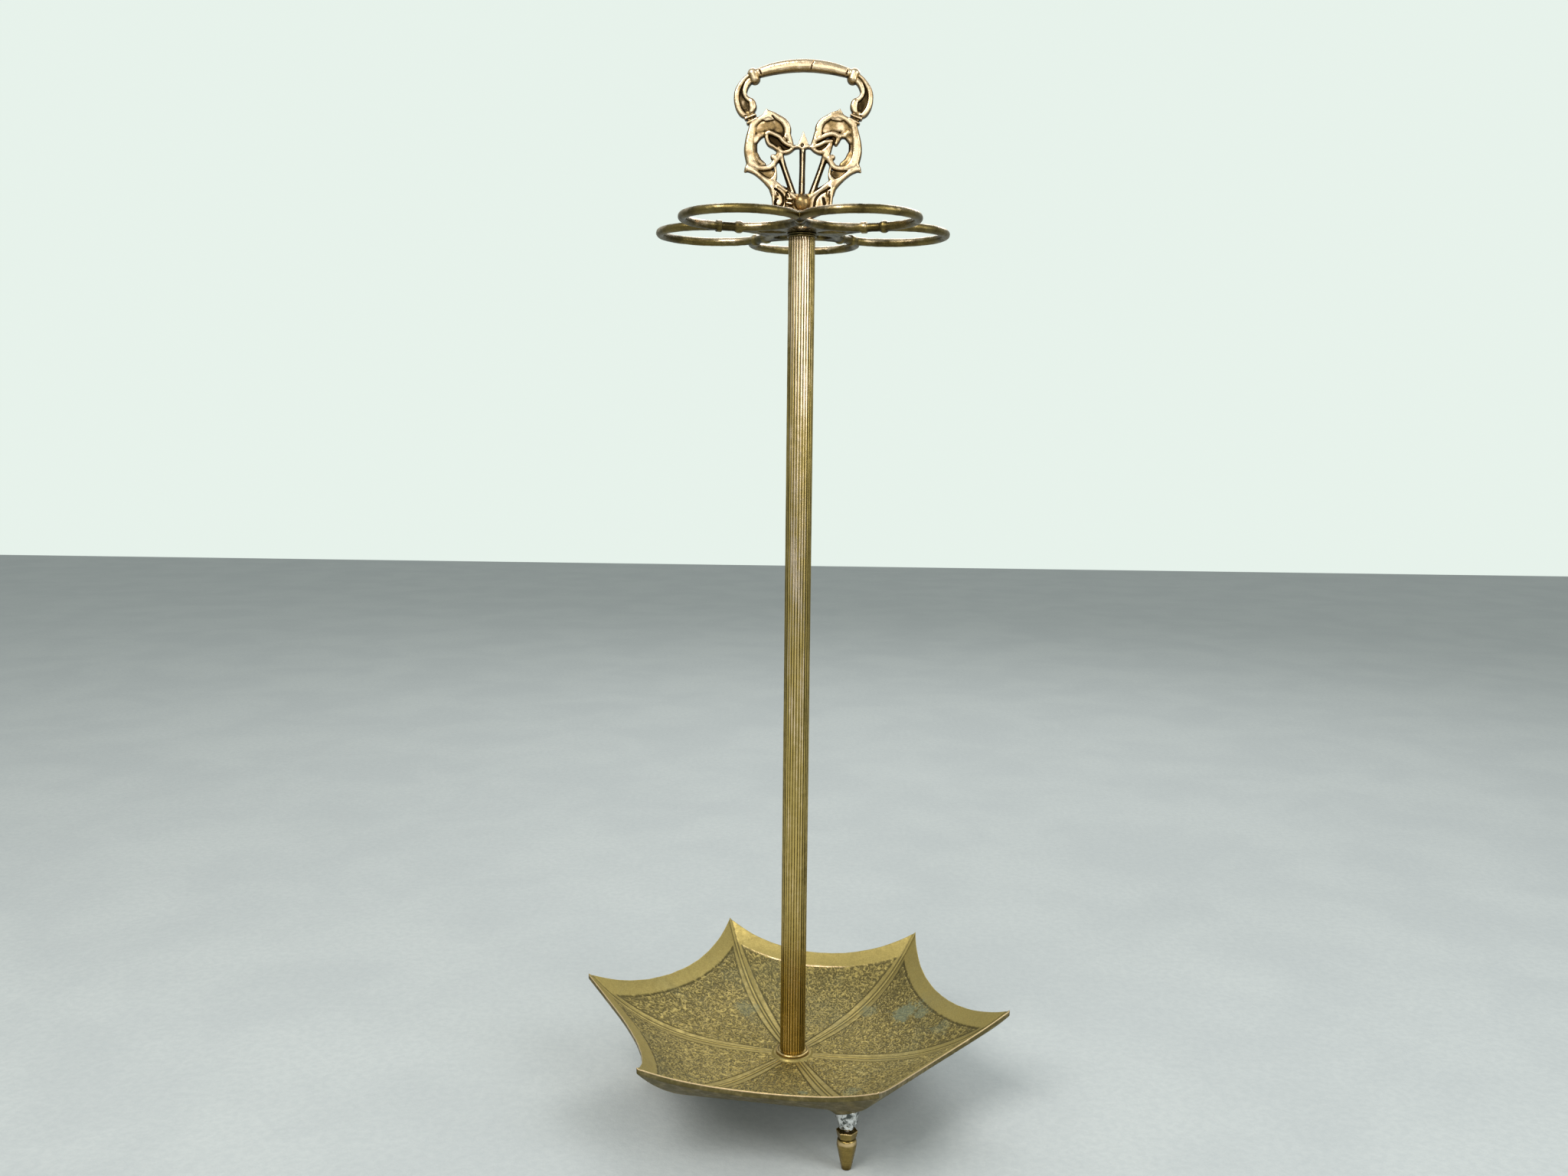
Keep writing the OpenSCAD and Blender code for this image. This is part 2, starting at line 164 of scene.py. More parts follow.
def lathe(profile, cols, radius=None):
    """Vertices, quads and triangles of a turned shape. The profile runs [r, z] from a
    point on the axis or a ring, up the outside. radius(r, z, angle) may shape it."""
    profile = np.asarray(profile, float)
    body = profile[profile[:, 0] > 0]
    r, a = np.meshgrid(body[:, 0], np.arange(cols) * 2 * math.pi / cols, indexing="ij")
    z = np.repeat(body[:, 1:2], cols, 1)
    if radius:
        r = radius(r, z, a)
    verts = np.stack([r * np.cos(a), r * np.sin(a), z], -1).reshape(-1, 3)
    quads = grid_quads(len(body), cols, wrap_rows=len(body) == len(profile))
    tris = [np.zeros((0, 3), int)]
    here = np.arange(cols)
    after = (here + 1) % cols
    top = (len(body) - 1) * cols
    for (pole_r, pole_z), ring in ((profile[0], (after, here)),
                                   (profile[-1], (top + here, top + after))):
        if pole_r == 0:
            tris.append(np.stack([np.full(cols, len(verts)), *ring], -1))
            verts = np.vstack([verts, [[0, 0, pole_z]]])
    return verts, quads, np.vstack(tris)


def joined(parts):
    """One set of vertices, quads and triangles from several."""
    verts, quads, tris, base = [], [], [], 0
    for v, q, t in parts:
        verts.append(v)
        quads.append(np.asarray(q) + base)
        tris.append(np.asarray(t, int).reshape(-1, 3) + base)
        base += len(v)
    return np.vstack(verts), np.vstack(quads), np.vstack(tris)


def surface_nets(field, origin, cell):
    """Vertices and quads of the surface where the field crosses zero. The field is above
    zero inside, and below it at the edges of the grid."""
    inside = field > 0
    corners = np.array(list(itertools.product((0, 1), repeat=3)))
    total = sum(inside[tuple(slice(c, c + n - 1) for c, n in zip(corner, field.shape))]
                .astype(np.int8) for corner in corners)
    mixed = (total > 0) & (total < 8)
    cells = np.argwhere(mixed)
    index = np.full(mixed.shape, -1, np.int64)
    index[mixed] = np.arange(len(cells))
    sums, counts = np.zeros((len(cells), 3)), np.zeros(len(cells))
    for a, b in itertools.combinations(corners, 2):
        if np.abs(a - b).sum() != 1:
            continue
        fa = field[tuple((cells + a).T)]
        fb = field[tuple((cells + b).T)]
        cross = (fa > 0) != (fb > 0)
        t = np.where(cross, fa / np.where(cross, fa - fb, 1), 0)
        sums += np.where(cross[:, None], a + t[:, None] * (b - a), 0)
        counts += cross
    verts = np.asarray(origin) + (cells + sums / counts[:, None]) * cell
    quads = []
    unit = np.eye(3, dtype=int)
    for axis in range(3):
        low = inside.take(range(inside.shape[axis] - 1), axis)
        high = inside.take(range(1, inside.shape[axis]), axis)
        edges = np.argwhere(low != high)
        u, v = unit[(axis + 1) % 3], unit[(axis + 2) % 3]
        quad = np.stack([index[tuple((edges - step).T)] for step in (u + v, v, 0 * u, u)], -1)
        flip = ~low[tuple(edges.T)]
        quad[flip] = quad[flip][:, ::-1]
        quads.append(quad)
    return verts, np.vstack(quads)


def relaxed(verts, quads, times, share=0.5):
    """The vertices moved towards the middle of their neighbours."""
    edges = np.vstack([quads[:, [i, (i + 1) % 4]] for i in range(4)])
    for _ in range(times):
        sums, counts = np.zeros_like(verts), np.zeros(len(verts))
        for a, b in ((0, 1), (1, 0)):
            np.add.at(sums, edges[:, a], verts[edges[:, b]])
            np.add.at(counts, edges[:, a], 1)
        verts = verts + share * (sums / np.maximum(counts, 1)[:, None] - verts)
    return verts


def normals(verts, quads):
    """The unit normal at each vertex."""
    n = np.cross(verts[quads[:, 2]] - verts[quads[:, 0]], verts[quads[:, 3]] - verts[quads[:, 1]])
    sums = np.zeros_like(verts)
    for i in range(4):
        np.add.at(sums, quads[:, i], n)
    return sums / np.maximum(np.linalg.norm(sums, axis=1), 1e-12)[:, None]


# ---- Materials


class Maker:
    """Builds one node material on top of a Principled shader."""

    def __init__(self, name):
        self.material = bpy.data.materials.new(name)
        self.material.use_nodes = True
        self.tree = self.material.node_tree
        self.shader = self.tree.nodes["Principled BSDF"]
        self.place = self.tree.nodes.new("ShaderNodeTexCoord").outputs["Object"]

    def put(self, socket, value):
        """Links a socket to another one, or gives it a value."""
        if isinstance(value, bpy.types.NodeSocket):
            self.tree.links.new(value, socket)
        elif isinstance(value, (tuple, list)) and len(value) == 3 and socket.type == "RGBA":
            socket.default_value = (*value, 1)
        else:
            socket.default_value = value

    def add(self, kind, output, inputs, **settings):
        """A shader node with the given inputs, which are values or sockets."""
        node = self.tree.nodes.new("ShaderNode" + kind)
        for key, value in settings.items():
            setattr(node, key, value)
        for key, value in inputs.items():
            self.put(node.inputs[key], value)
        return node.outputs[output]

    def noise(self, scale, detail=3.0, rough=0.55, warp=0.0, stretch=None):
        where = self.place
        if stretch:
            where = self.add("Mapping", 0, {"Scale": stretch, "Vector": where})
        return self.add("TexNoise", "Fac", {"Scale": scale, "Detail": detail, "Vector": where,
                                            "Roughness": rough, "Distortion": warp})

    def attribute(self, name):
        return self.add("Attribute", "Fac", {}, attribute_name=name)

    def math(self, operation, a, b, clamp=False):
        return self.add("Math", 0, {0: a, 1: b}, operation=operation, use_clamp=clamp)

    def span(self, value, low, high, to_low=0.0, to_high=1.0):
        return self.add("MapRange", 0, {0: value, 1: low, 2: high, 3: to_low, 4: to_high},
                        interpolation_type="SMOOTHSTEP")

    def mix(self, factor, a, b, blend="MIX"):
        return self.add("Mix", 2, {0: factor, 6: a, 7: b}, data_type="RGBA", blend_type=blend)

    def bump(self, height, distance):
        return self.add("Bump", 0, {"Distance": distance, "Height": height})

    def done(self, colour, rough, normal=None, metallic=1.0):
        self.put(self.shader.inputs["Base Color"], colour)
        self.put(self.shader.inputs["Roughness"], rough)
        self.put(self.shader.inputs["Metallic"], metallic)
        if normal:
            self.put(self.shader.inputs["Normal"], normal)
        return self.material


def brass(name, dark, middle, bright, rough, patina=(0.20, 0.24, 0.15), patina_share=0.25,
          grain=0.00006, streaks=None, metal=1.0, spread=1.0):
    """Aged brass: dark in its hollows and where shade is painted, bright where it is worn
    and where highlights are painted, from the stored values of relief, of wear with
    painted highlight, and of stain, under blotches, fine pits and scratches."""
    m = Maker(name)
    relief, wear_and_highlight, stain = m.attribute("relief"), m.attribute("wear_and_highlight"), m.attribute("stain")
    blotch = m.noise(38, 5, 0.6, 0.4)
    mottle = m.noise(210, 4, 0.6)
    fine = m.noise(900, 3, 0.6, stretch=streaks)

    def varied(value, mottle_share, blotch_share):
        for cloud, share in ((mottle, mottle_share), (blotch, blotch_share)):
            centred = m.math("SUBTRACT", cloud, 0.5)
            value = m.math("ADD", value, m.math("MULTIPLY", centred, share * spread))
        return value

    colour = m.mix(m.span(varied(relief, 0.45, 0.35), 0.25, 0.75), dark, middle)
    polish_and_highlight = m.span(varied(wear_and_highlight, 0.5, 0.5), 0.35, 0.8)
    colour = m.mix(polish_and_highlight, colour, bright)
    green = m.math("MULTIPLY", m.span(m.noise(17, 6, 0.65, 0.8), 0.52, 0.68), patina_share)
    green = m.math("MULTIPLY", green, m.math("SUBTRACT", 1.0, polish_and_highlight))
    green = m.math("MAXIMUM", green, m.math("MULTIPLY", stain, 0.75))
    colour = m.mix(green, colour, patina)
    shade = m.span(fine, 0.3, 0.7, 0.86, 1.08)
    colour = m.mix(1.0, colour, shade, "MULTIPLY")
    roughness = m.span(mottle, 0.3, 0.75, rough[1], rough[0])
    roughness = m.math("SUBTRACT", roughness, m.math("MULTIPLY", polish_and_highlight, 0.08))
    roughness = m.math("ADD", roughness, m.math("MULTIPLY", green, 0.25), clamp=True)
    normal = m.bump(m.math("ADD", fine, m.math("MULTIPLY", mottle, 1.5)), grain)
    metallic = m.math("SUBTRACT", metal, m.math("MULTIPLY", green, 0.5), clamp=True)
    return m.done(colour, roughness, normal, metallic)


tray_brass = brass("tray_brass", (0.130, 0.103, 0.036), (0.43, 0.333, 0.108),
                   (0.80, 0.58, 0.34), rough=(0.38, 0.56), patina=(0.16, 0.19, 0.12),
                   patina_share=0.12, grain=0.00009, metal=0.80, spread=0.6)
handle_brass = brass("handle_brass", (0.030, 0.018, 0.007), (0.34, 0.225, 0.095),
                     (0.86, 0.64, 0.41), rough=(0.24, 0.38), patina_share=0.06, spread=0.75)
rack_brass = brass("rack_brass", (0.040, 0.028, 0.009), (0.19, 0.140, 0.046),
                   (0.78, 0.61, 0.41), rough=(0.24, 0.40), patina=(0.11, 0.13, 0.06),
                   patina_share=0.30)
tube_brass = brass("tube_brass", (0.070, 0.050, 0.012), (0.60, 0.44, 0.14),
                   (0.97, 0.76, 0.55), rough=(0.22, 0.36), patina=(0.12, 0.13, 0.05),
                   patina_share=0.15, streaks=(1, 1, 0.05))
foot_brass = brass("foot_brass", (0.07, 0.047, 0.012), (0.38, 0.27, 0.085),
                   (0.74, 0.54, 0.28), rough=(0.20, 0.34), patina_share=0.06,
                   streaks=(0.2, 0.2, 1))


def solder_material():
    m = Maker("solder_metal")
    crease = m.noise(260, 4, 0.6, 0.6)
    fine = m.noise(900, 3, 0.6)
    colour = m.mix(m.span(crease, 0.38, 0.56), (0.10, 0.11, 0.10), (0.86, 0.87, 0.85))
    rough = m.span(fine, 0.3, 0.7, 0.12, 0.24)
    return m.done(colour, rough, m.bump(crease, 0.0003))


def steel_material():
    m = Maker("dull_steel")
    blotch = m.noise(120, 5, 0.6, 0.3)
    fine = m.noise(1400, 2, 0.5)
    colour = m.mix(m.span(blotch, 0.4, 0.66), (0.36, 0.35, 0.33), (0.15, 0.10, 0.06))
    rough = m.span(blotch, 0.35, 0.7, 0.32, 0.62)
    return m.done(colour, rough, m.bump(fine, 0.00005))


solder_metal = solder_material()
dull_steel = steel_material()


def box_mm(node):
    """Lowest and highest corners of a node of the frame, in millimetres."""
    return [np.array(corner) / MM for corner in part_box(node)]


def finish_piece(obj, material, slot, *nodes):
    """Gives a piece its material, fixes it to the root body, and hides the nodes of the frame that
    it stands for.
    """
    obj.data.materials.append(material)
    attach(obj, "root")
    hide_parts(*nodes)


# ---- Tray

PANEL = math.pi / 3
PANEL_REACH = TRAY_TIP_R * math.cos(PANEL / 2)
HALF_SIDE = TRAY_TIP_R * math.sin(PANEL / 2)
HOLLOW = PANEL_REACH - TRAY_EDGE_R
EDGE_ARC_R = (HALF_SIDE ** 2 + HOLLOW ** 2) / (2 * HOLLOW)
EDGE_ARC_C = TRAY_EDGE_R + EDGE_ARC_R
RIM_BEVEL = 0.7
BAND_W = 10.5
BACK_PANEL = TRAY_TURN + 1.5 * PANEL
# Half width of a rib at some distances from the axis
RIB_REACH, RIB_HALF_W = (14, 30, 60, 90, 120, 145, 160), (3.4, 4.4, 5.8, 6.0, 5.2, 3.6, 1.6)


def tray_z(reach):
    """Height of the tray's inside where a panel is this far from the axis."""
    return TRAY_FLOOR_Z + TRAY_RISE * (np.maximum(reach, 0) / PANEL_REACH) ** TRAY_CURL


def panel_angle(angle):
    """Angle from the middle of the nearest panel."""
    return (angle - TRAY_TURN) % PANEL - PANEL / 2


def edge_radius(t):
    """Radius of the tray's outline at an angle from the middle of a panel."""
    return EDGE_ARC_C * np.cos(t) - np.sqrt(EDGE_ARC_R ** 2 - (EDGE_ARC_C * np.sin(t)) ** 2)


def tray_relief(x, y):
    """Height of the cast pattern at each place inside the tray, how far it stands out of
    its hollows, with painted shade in the step under the border, and how worn it is,
    with a painted highlight on the back panel's border edge."""
    r, angle = np.hypot(x, y), np.arctan2(y, x)
    t = panel_angle(angle)
    from_edge = np.hypot(r * np.cos(t) - EDGE_ARC_C, r * np.sin(t)) - EDGE_ARC_R
    from_rib = r * np.sin(PANEL / 2 - np.abs(t))
    rib_w = np.interp(r, RIB_REACH, RIB_HALF_W)
    place = on_plane(x, y)
    waver = noise(place, 14, 5) * 0.45
    band = smoothstep(-0.5, 0.5, BAND_W - from_edge + waver)
    rib = smoothstep(-0.45, 0.45, rib_w - from_rib + waver * 0.6)
    pad = smoothstep(-0.8, 0.8, PAD_R + 1.5 - r)
    smooth = np.maximum(np.maximum(band, rib), pad)
    # Bark-like wrinkles: short winding ridges with gaps between them
    warp = on_plane(noise(place, 4.2, 11), noise(place, 4.2, 12))
    winding = 1 - np.abs(noise(place + warp * 2.4, 2.7, 13)) * 3.6
    short = 1 - np.abs(noise(place + warp * 1.2, 1.9, 14)) * 3.4
    gaps = smoothstep(-0.45, 0.15, noise(place, 3.4, 15))
    bark = np.maximum(np.clip(winding, 0, 1) * gaps, np.clip(short, 0, 1) * (0.9 - 0.5 * gaps))
    panel = 1 - smooth
    height = 0.50 * smooth + 0.75 * bark * panel
    groove = bell(from_rib - rib_w - 0.4, 0.9) * (1 - band) * (1 - pad)
    line_w = np.interp(r, (20, 80, 150), (0.75, 0.95, 0.8))
    line = bell(from_rib, line_w) * (1 - pad)
    beside = bell(from_rib - line_w - 0.35, 0.75) * (1 - pad)
    # Painted highlight on the border's inner edge on the back panel, and painted shade in the step
    # under the border on the other panels
    edge_of_band = from_edge - BAND_W + waver
    from_back = angle - BACK_PANEL
    at_back = bell(from_back - 0.119, 0.6) * (np.abs(from_back) < PANEL / 2)
    lip = bell(edge_of_band - 0.1, 0.9) * (1 - rib) * (1 - pad)
    height += 0.35 * line - 0.35 * beside * smoothstep(15, 30, r) - 0.4 * groove
    height -= 0.30 * bell(edge_of_band - 1.2, 0.9) * (1 - rib) * panel
    height += 0.25 * noise(place, 30, 6) * smoothstep(18, 40, r) * smoothstep(0, 12, from_edge)
    band_step_shade = bell(edge_of_band - 0.8, 0.9) * (1 - rib) * (1 - at_back)
    relief = np.clip(0.16 * panel + 0.72 * bark * panel + 0.56 * smooth + 0.10 * band
                     - 0.4 * groove - 0.35 * beside + 0.25 * line - 0.25 * band_step_shade, 0, 1)
    wear_and_highlight = np.clip(0.26 * bark * panel + 0.18 * line + 0.75 * lip * at_back
                   + 0.12 * lip + 0.06 * smooth, 0, 1)
    return height, relief, wear_and_highlight


def tray_shell():
    """The tray's skin, in rows from the rod's hole over the inside, round the rim and back
    under it. All the places in a row are at one share of the way to the outline."""
    cols, main_rows, under_rows = 6 * 216, 226, 44
    angle = TRAY_TURN + np.arange(cols) * 2 * math.pi / cols
    t = panel_angle(angle)
    ring = on_plane(160 * np.cos(angle), 160 * np.sin(angle))
    edge = edge_radius(t) + 0.25 * (noise(ring, 12, 7) - 1)
    insets = (1.3, 0.95, 0.7, 0.45, 0.25, 0.1, 0.0)
    grid_reach = edge - 1.6 - ROD_HOLE_R
    rows = []

    def row(radius, side, drop):
        """side is 1 on the inside of the tray and -1 under it."""
        x, y = radius * np.cos(angle), radius * np.sin(angle)
        z = tray_z(radius * np.cos(t))
        if side > 0:
            height, relief, wear_and_highlight = tray_relief(x, y)
            pad = smoothstep(PAD_R + 1.2, PAD_R - 0.6, radius)
            z = (z + height) * (1 - pad) + PAD_TOP_Z * pad
            z = z - drop
            wear_and_highlight = np.maximum(wear_and_highlight, smoothstep(0.15, 0.5, drop) * 0.95)
        else:
            place = on_plane(x, y)
            z = z - TRAY_T + drop + 0.12 * noise(place, 4, 21) + 0.1 * noise(place, 18, 22)
            pad = smoothstep(PAD_R + 1.0, PAD_R - 1.0, radius)
            z = z * (1 - pad) + PAD_BOTTOM_Z * pad
            relief = 0.30 + 0.2 * noise(place, 9, 23)
            wear_and_highlight = np.full(cols, 0.38)
        rows.append((x, y, z, relief, wear_and_highlight))

    def rim(side, order):
        for inset in order:
            lean = max(RIM_BEVEL - inset, 0)
            drop = RIM_BEVEL - math.sqrt(RIM_BEVEL ** 2 - lean ** 2)
            row(edge - inset, side, np.full(cols, drop))

    for s in np.linspace(0, 1, main_rows):
        row(ROD_HOLE_R + s * grid_reach, 1, 0.0)
    rim(1, insets)
    x, y, top_z, relief, wear_and_highlight = rows[-1]
    under_rim = tray_z(edge * np.cos(t)) - TRAY_T + RIM_BEVEL
    for share in (0.25, 0.5, 0.75):
        rows.append((x, y, top_z + share * (under_rim - top_z),
                     np.full(cols, 0.30), np.full(cols, 0.38)))
    rim(-1, insets[::-1])
    for s in np.linspace(1, 0, under_rows):
        row(ROD_HOLE_R + s * grid_reach, -1, 0.0)
    verts = np.stack([np.concatenate([row[i] for row in rows]) for i in range(3)], -1)
    relief = np.concatenate([row[3] for row in rows])
    wear_and_highlight = np.concatenate([row[4] for row in rows])
    # Its rows go outward and not up, so each quad is turned over about its first corner
    quads = np.roll(grid_quads(len(rows), cols, wrap_rows=True)[:, ::-1], 1, axis=1)
    return verts, quads, relief, wear_and_highlight


def foot_centre(k):
    """The foot's place under a rib."""
    angle = TRAY_TURN + k * PANEL
    return FOOT_CIRCLE_R * np.array([math.cos(angle), math.sin(angle), 0])


def boss(k, bottom_z, low_r, flare_r, broken):
    """The flared boss under the tray for one foot, which runs out into the casting. The
    broken one ends in a rough face that slopes with the tray."""
    cx, cy, _ = foot_centre(k)
    cols, steps = 96, 26
    angle = np.arange(cols) * 2 * math.pi / cols
    outward = np.cos(angle - TRAY_TURN - k * PANEL)

    def under(radius):
        x, y = cx + radius * np.cos(angle), cy + radius * np.sin(angle)
        return tray_z(np.hypot(x, y) * np.cos(panel_angle(np.arctan2(y, x)))) - TRAY_T

    def bottom(radius):
        return bottom_z + 0.05 + (RIB_SLOPE * radius * outward if broken else 0 * outward)

    ring = on_plane(4 * np.cos(angle), 4 * np.sin(angle))
    ragged = 0.5 * np.abs(noise(ring, 2.0, 31)) if broken else 0
    drop = under(low_r) - bottom(low_r) - 0.2
    rows = [(2.1, bottom(2.1)), (low_r - 0.5, bottom(low_r - 0.5) + ragged)]
    for u in np.linspace(0, 1, steps):
        radius = low_r + (flare_r - low_r) * u ** 1.6
        share = 1 - (radius - low_r) / (flare_r - low_r)
        z = under(radius) + 0.6 * (1 - share) ** 4 - drop * share ** 2.6
        rows.append((radius, z + ragged * (1 - u) ** 3))
    for radius in (flare_r - 1.5, 6.0, 2.1):
        rows.append((radius, under(radius) + 1.3))
    verts = np.vstack([np.stack([cx + r * np.cos(angle), cy + r * np.sin(angle),
                                 z * np.ones(cols)], -1) for r, z in rows])
    return verts, grid_quads(len(rows), cols, wrap_rows=True), np.zeros((0, 3), int)


def make_tray():
    verts, quads, relief, wear_and_highlight = tray_shell()
    none = np.zeros((0, 3), int)
    bosses = [boss(FOOT_RIBS["foot_front"], BREAK_Z, 8.6, 16, True),
              boss(FOOT_RIBS["foot_rear"], FOOT_H, 5.2, 15, False),
              boss(FOOT_RIBS["foot_left"], FOOT_H, 5.2, 15, False)]
    extra = sum(len(b[0]) for b in bosses)
    verts, quads, tris = joined([(verts, quads, none)] + bosses)
    relief = np.concatenate([relief, np.full(extra, 0.36)])
    wear_and_highlight = np.concatenate([wear_and_highlight, np.full(extra, 0.38)])
    stain = np.zeros(len(verts))
    patches = ((88, 44, 13, 0.95), (99, 36, 8, 0.8), (60, 62, 9, 0.6), (10, -66, 5, 0.8),
               (-2, -74, 4, 0.7), (44, -68, 9, 0.5), (-38, 66, 12, 0.5), (112, 8, 9, 0.5))
    for x, y, size, share in patches:
        away = np.hypot(verts[:, 0] - x, verts[:, 1] - y) / size
        spread = away + 0.45 * noise(verts, 7, 25) + 0.35 * noise(verts, 2.4, 26)
        stain = np.maximum(stain, share * smoothstep(1.0, 0.5, spread))
    values = {"relief": relief, "wear_and_highlight": wear_and_highlight, "stain": stain}
    tray = add_piece("tray_casting", verts, quads, tris, values)
    finish_piece(tray, tray_brass, "cast_brass", "tray")


# ---- Feet and steel


def hexagon(angle):
    """Radius of a hexagon of corner radius 1, with its corners a little rounded."""
    t = angle % (math.pi / 3) - math.pi / 6
    return np.minimum(math.cos(math.pi / 6) / np.cos(t), 0.985)


def foot_profile():
    groove_r, shoulder_r = 6.1, 6.9
    outer = [[0, 0.0], [2.6, 0.0], [3.1, 0.12], [3.45, 0.5]]
    outer += [[3.5 + (shoulder_r - 3.5) * u, 0.9 + 16.6 * u] for u in np.linspace(0, 1, 14)]
    for a in np.radians(np.linspace(12, 90, 9)):
        outer.append([groove_r - 0.15 + (shoulder_r - groove_r + 0.15) * math.cos(a),
                      17.6 + 4.4 * math.sin(a)])
    outer += [[5.75, 22.2], [5.7, 22.7], [5.9, 23.1]]
    outer += [[6.6, 23.25], [6.75, 23.5]]
    outer += [[6.8 + 0.8 * u, 23.6 + 3.9 * u] for u in np.linspace(0.1, 1, 7)]
    outer += [[7.45, 27.8], [7.1, 27.9], [5.6, 27.9], [3.4, 27.75], [2.4, 27.6],
              [2.1, 27.3], [2.1, 19.2], [0, 19.0]]
    return outer


def make_feet():
    def shape(r, z, a):
        flat = smoothstep(23.0, 23.4, z) * smoothstep(6.0, 6.5, r)
        return r * (1 - flat) + np.minimum(r, r * hexagon(a)) * flat

    for name, k in FOOT_RIBS.items():
        verts, quads, tris = lathe(foot_profile(), 96, shape)
        r, z = np.hypot(verts[:, 0], verts[:, 1]), verts[:, 2]
        relief = 0.62 - 0.5 * bell(z - 22.6, 0.9) * (r < 6.4) - 0.2 * smoothstep(6, 0, z)
        # Painted highlight round the rounded shoulder; the top edge of the hex is brighter too
        wear_and_highlight = 0.25 + 0.5 * bell(z - 20.0, 2.4) + 0.4 * bell(z - 27.6, 0.6) * (r > 6)
        turn = TRAY_TURN + k * PANEL
        c, s = math.cos(turn), math.sin(turn)
        x, y, z = verts.T
        turned = np.stack([c * x - s * y, s * x + c * y, z], -1)
        foot = add_piece(name + "_peg", turned + foot_centre(k), quads, tris,
                         {"relief": relief, "wear_and_highlight": wear_and_highlight}, sharp=50)
        finish_piece(foot, foot_brass, "foot_brass", name)


def threaded(radius, z0, z1, pitch, depth, threaded_to=None):
    """A threaded rod on the Z axis. Above threaded_to it is plain."""
    stop = threaded_to or z1
    fine = np.arange(z0 + 0.4, stop, pitch / 7)
    rest = np.linspace(stop, z1 - 0.4, 6)[1:] if threaded_to else []
    profile = [[0, z0], [radius - 0.4, z0], *[[radius, z] for z in fine],
               *[[radius, z] for z in rest], [radius - 0.4, z1], [0, z1]]

    def shape(r, z, a):
        wave = 0.5 + 0.5 * np.cos(2 * math.pi * (z / pitch - a / (2 * math.pi)))
        cut = depth * wave * smoothstep(stop + 0.01, stop - 0.5, z)
        return np.where(r > radius - 0.1, r - cut, r)

    return lathe(profile, 40, shape)


def make_studs():
    studs = []
    for k in FOOT_RIBS.values():
        verts, quads, tris = threaded(STUD_R, STUD_Z0, STUD_Z1, 0.7, 0.16)
        studs.append((verts + foot_centre(k), quads, tris))
    finish_piece(add_piece("foot_stud_set", *joined(studs)), dull_steel, "steel", "foot_studs")


def make_rod():
    rod = threaded(ROD_R, ROD_Z0, ROD_Z1, 1.0, 0.22, threaded_to=28.5)
    finish_piece(add_piece("tie_rod_threaded", *rod), dull_steel, "steel", "tie_rod")


def make_washer():
    low, high = NUT_Z1, PAD_BOTTOM_Z
    section = [[3.3, low], [8.2, low], [8.45, low + 0.15], [8.5, low + 0.4], [8.5, high - 0.3],
               [8.4, high - 0.1], [8.15, high], [3.5, high], [3.3, high - 0.2]]
    washer = add_piece("tie_rod_washer_disc", *lathe(section, 72), sharp=50)
    finish_piece(washer, dull_steel, "steel", "tie_rod_washer")


def make_nut():
    def flats(r, z, a):
        chamfer = 5.2 + 1.6 * np.minimum(z - NUT_Z0, NUT_Z1 - z)
        return np.where(r > 4.9, np.minimum(5.8 * hexagon(a), chamfer), r)

    section = [[3.05, NUT_Z0 + 0.3], [3.4, NUT_Z0], [5.0, NUT_Z0]]
    section += [[5.8, NUT_Z0 + rise] for rise in (0.2, 0.4, 1.5, 3.5, 4.6, 4.8)]
    section += [[5.0, NUT_Z1], [3.4, NUT_Z1], [3.05, NUT_Z1 - 0.3]]
    nut = add_piece("tie_rod_hex_nut", *lathe(section, 96, flats), sharp=35)
    finish_piece(nut, dull_steel, "steel", "tie_rod_nut")


def make_solder():
    """A lumpy collar of solder round the front stud, up to the broken boss."""
    k = FOOT_RIBS["foot_front"]
    out = TRAY_TURN + k * PANEL
    profile = [[2.1, 30.2], [4.2, 29.95]]
    profile += [[5.3 + 3.0 * u ** 0.8, 30.0 + 10.2 * u] for u in np.linspace(0, 1, 34)]
    profile += [[7.2, 40.2], [2.1, 40.2]]

    def shape(r, z, a):
        p = np.stack([r * np.cos(a), r * np.sin(a), z], -1).reshape(-1, 3)
        lump = 0.75 * noise(p, 3.4, 41) + 0.40 * noise(p, 1.6, 42)
        lump = lump.reshape(r.shape) * smoothstep(2.5, 4.5, r) * smoothstep(40.2, 37, z)
        return r + lump

    v, q, t = lathe(profile, 120, shape)
    climb = smoothstep(31.5, 40.0, v[:, 2])
    v[:, 2] += 0.25 * noise(v, 1.6, 43) * (v[:, 2] < 38) * smoothstep(2.5, 4.5, np.hypot(
        v[:, 0], v[:, 1]))
    v[:, 2] = np.clip(v[:, 2], 29.95, 40.2)
    v[:, 2] += climb * RIB_SLOPE * (v[:, 0] * math.cos(out) + v[:, 1] * math.sin(out))
    piece = add_piece("solder_lump", v + foot_centre(k), q, t)
    finish_piece(piece, solder_metal, "solder", "solder_repair")


# ---- Post and collars


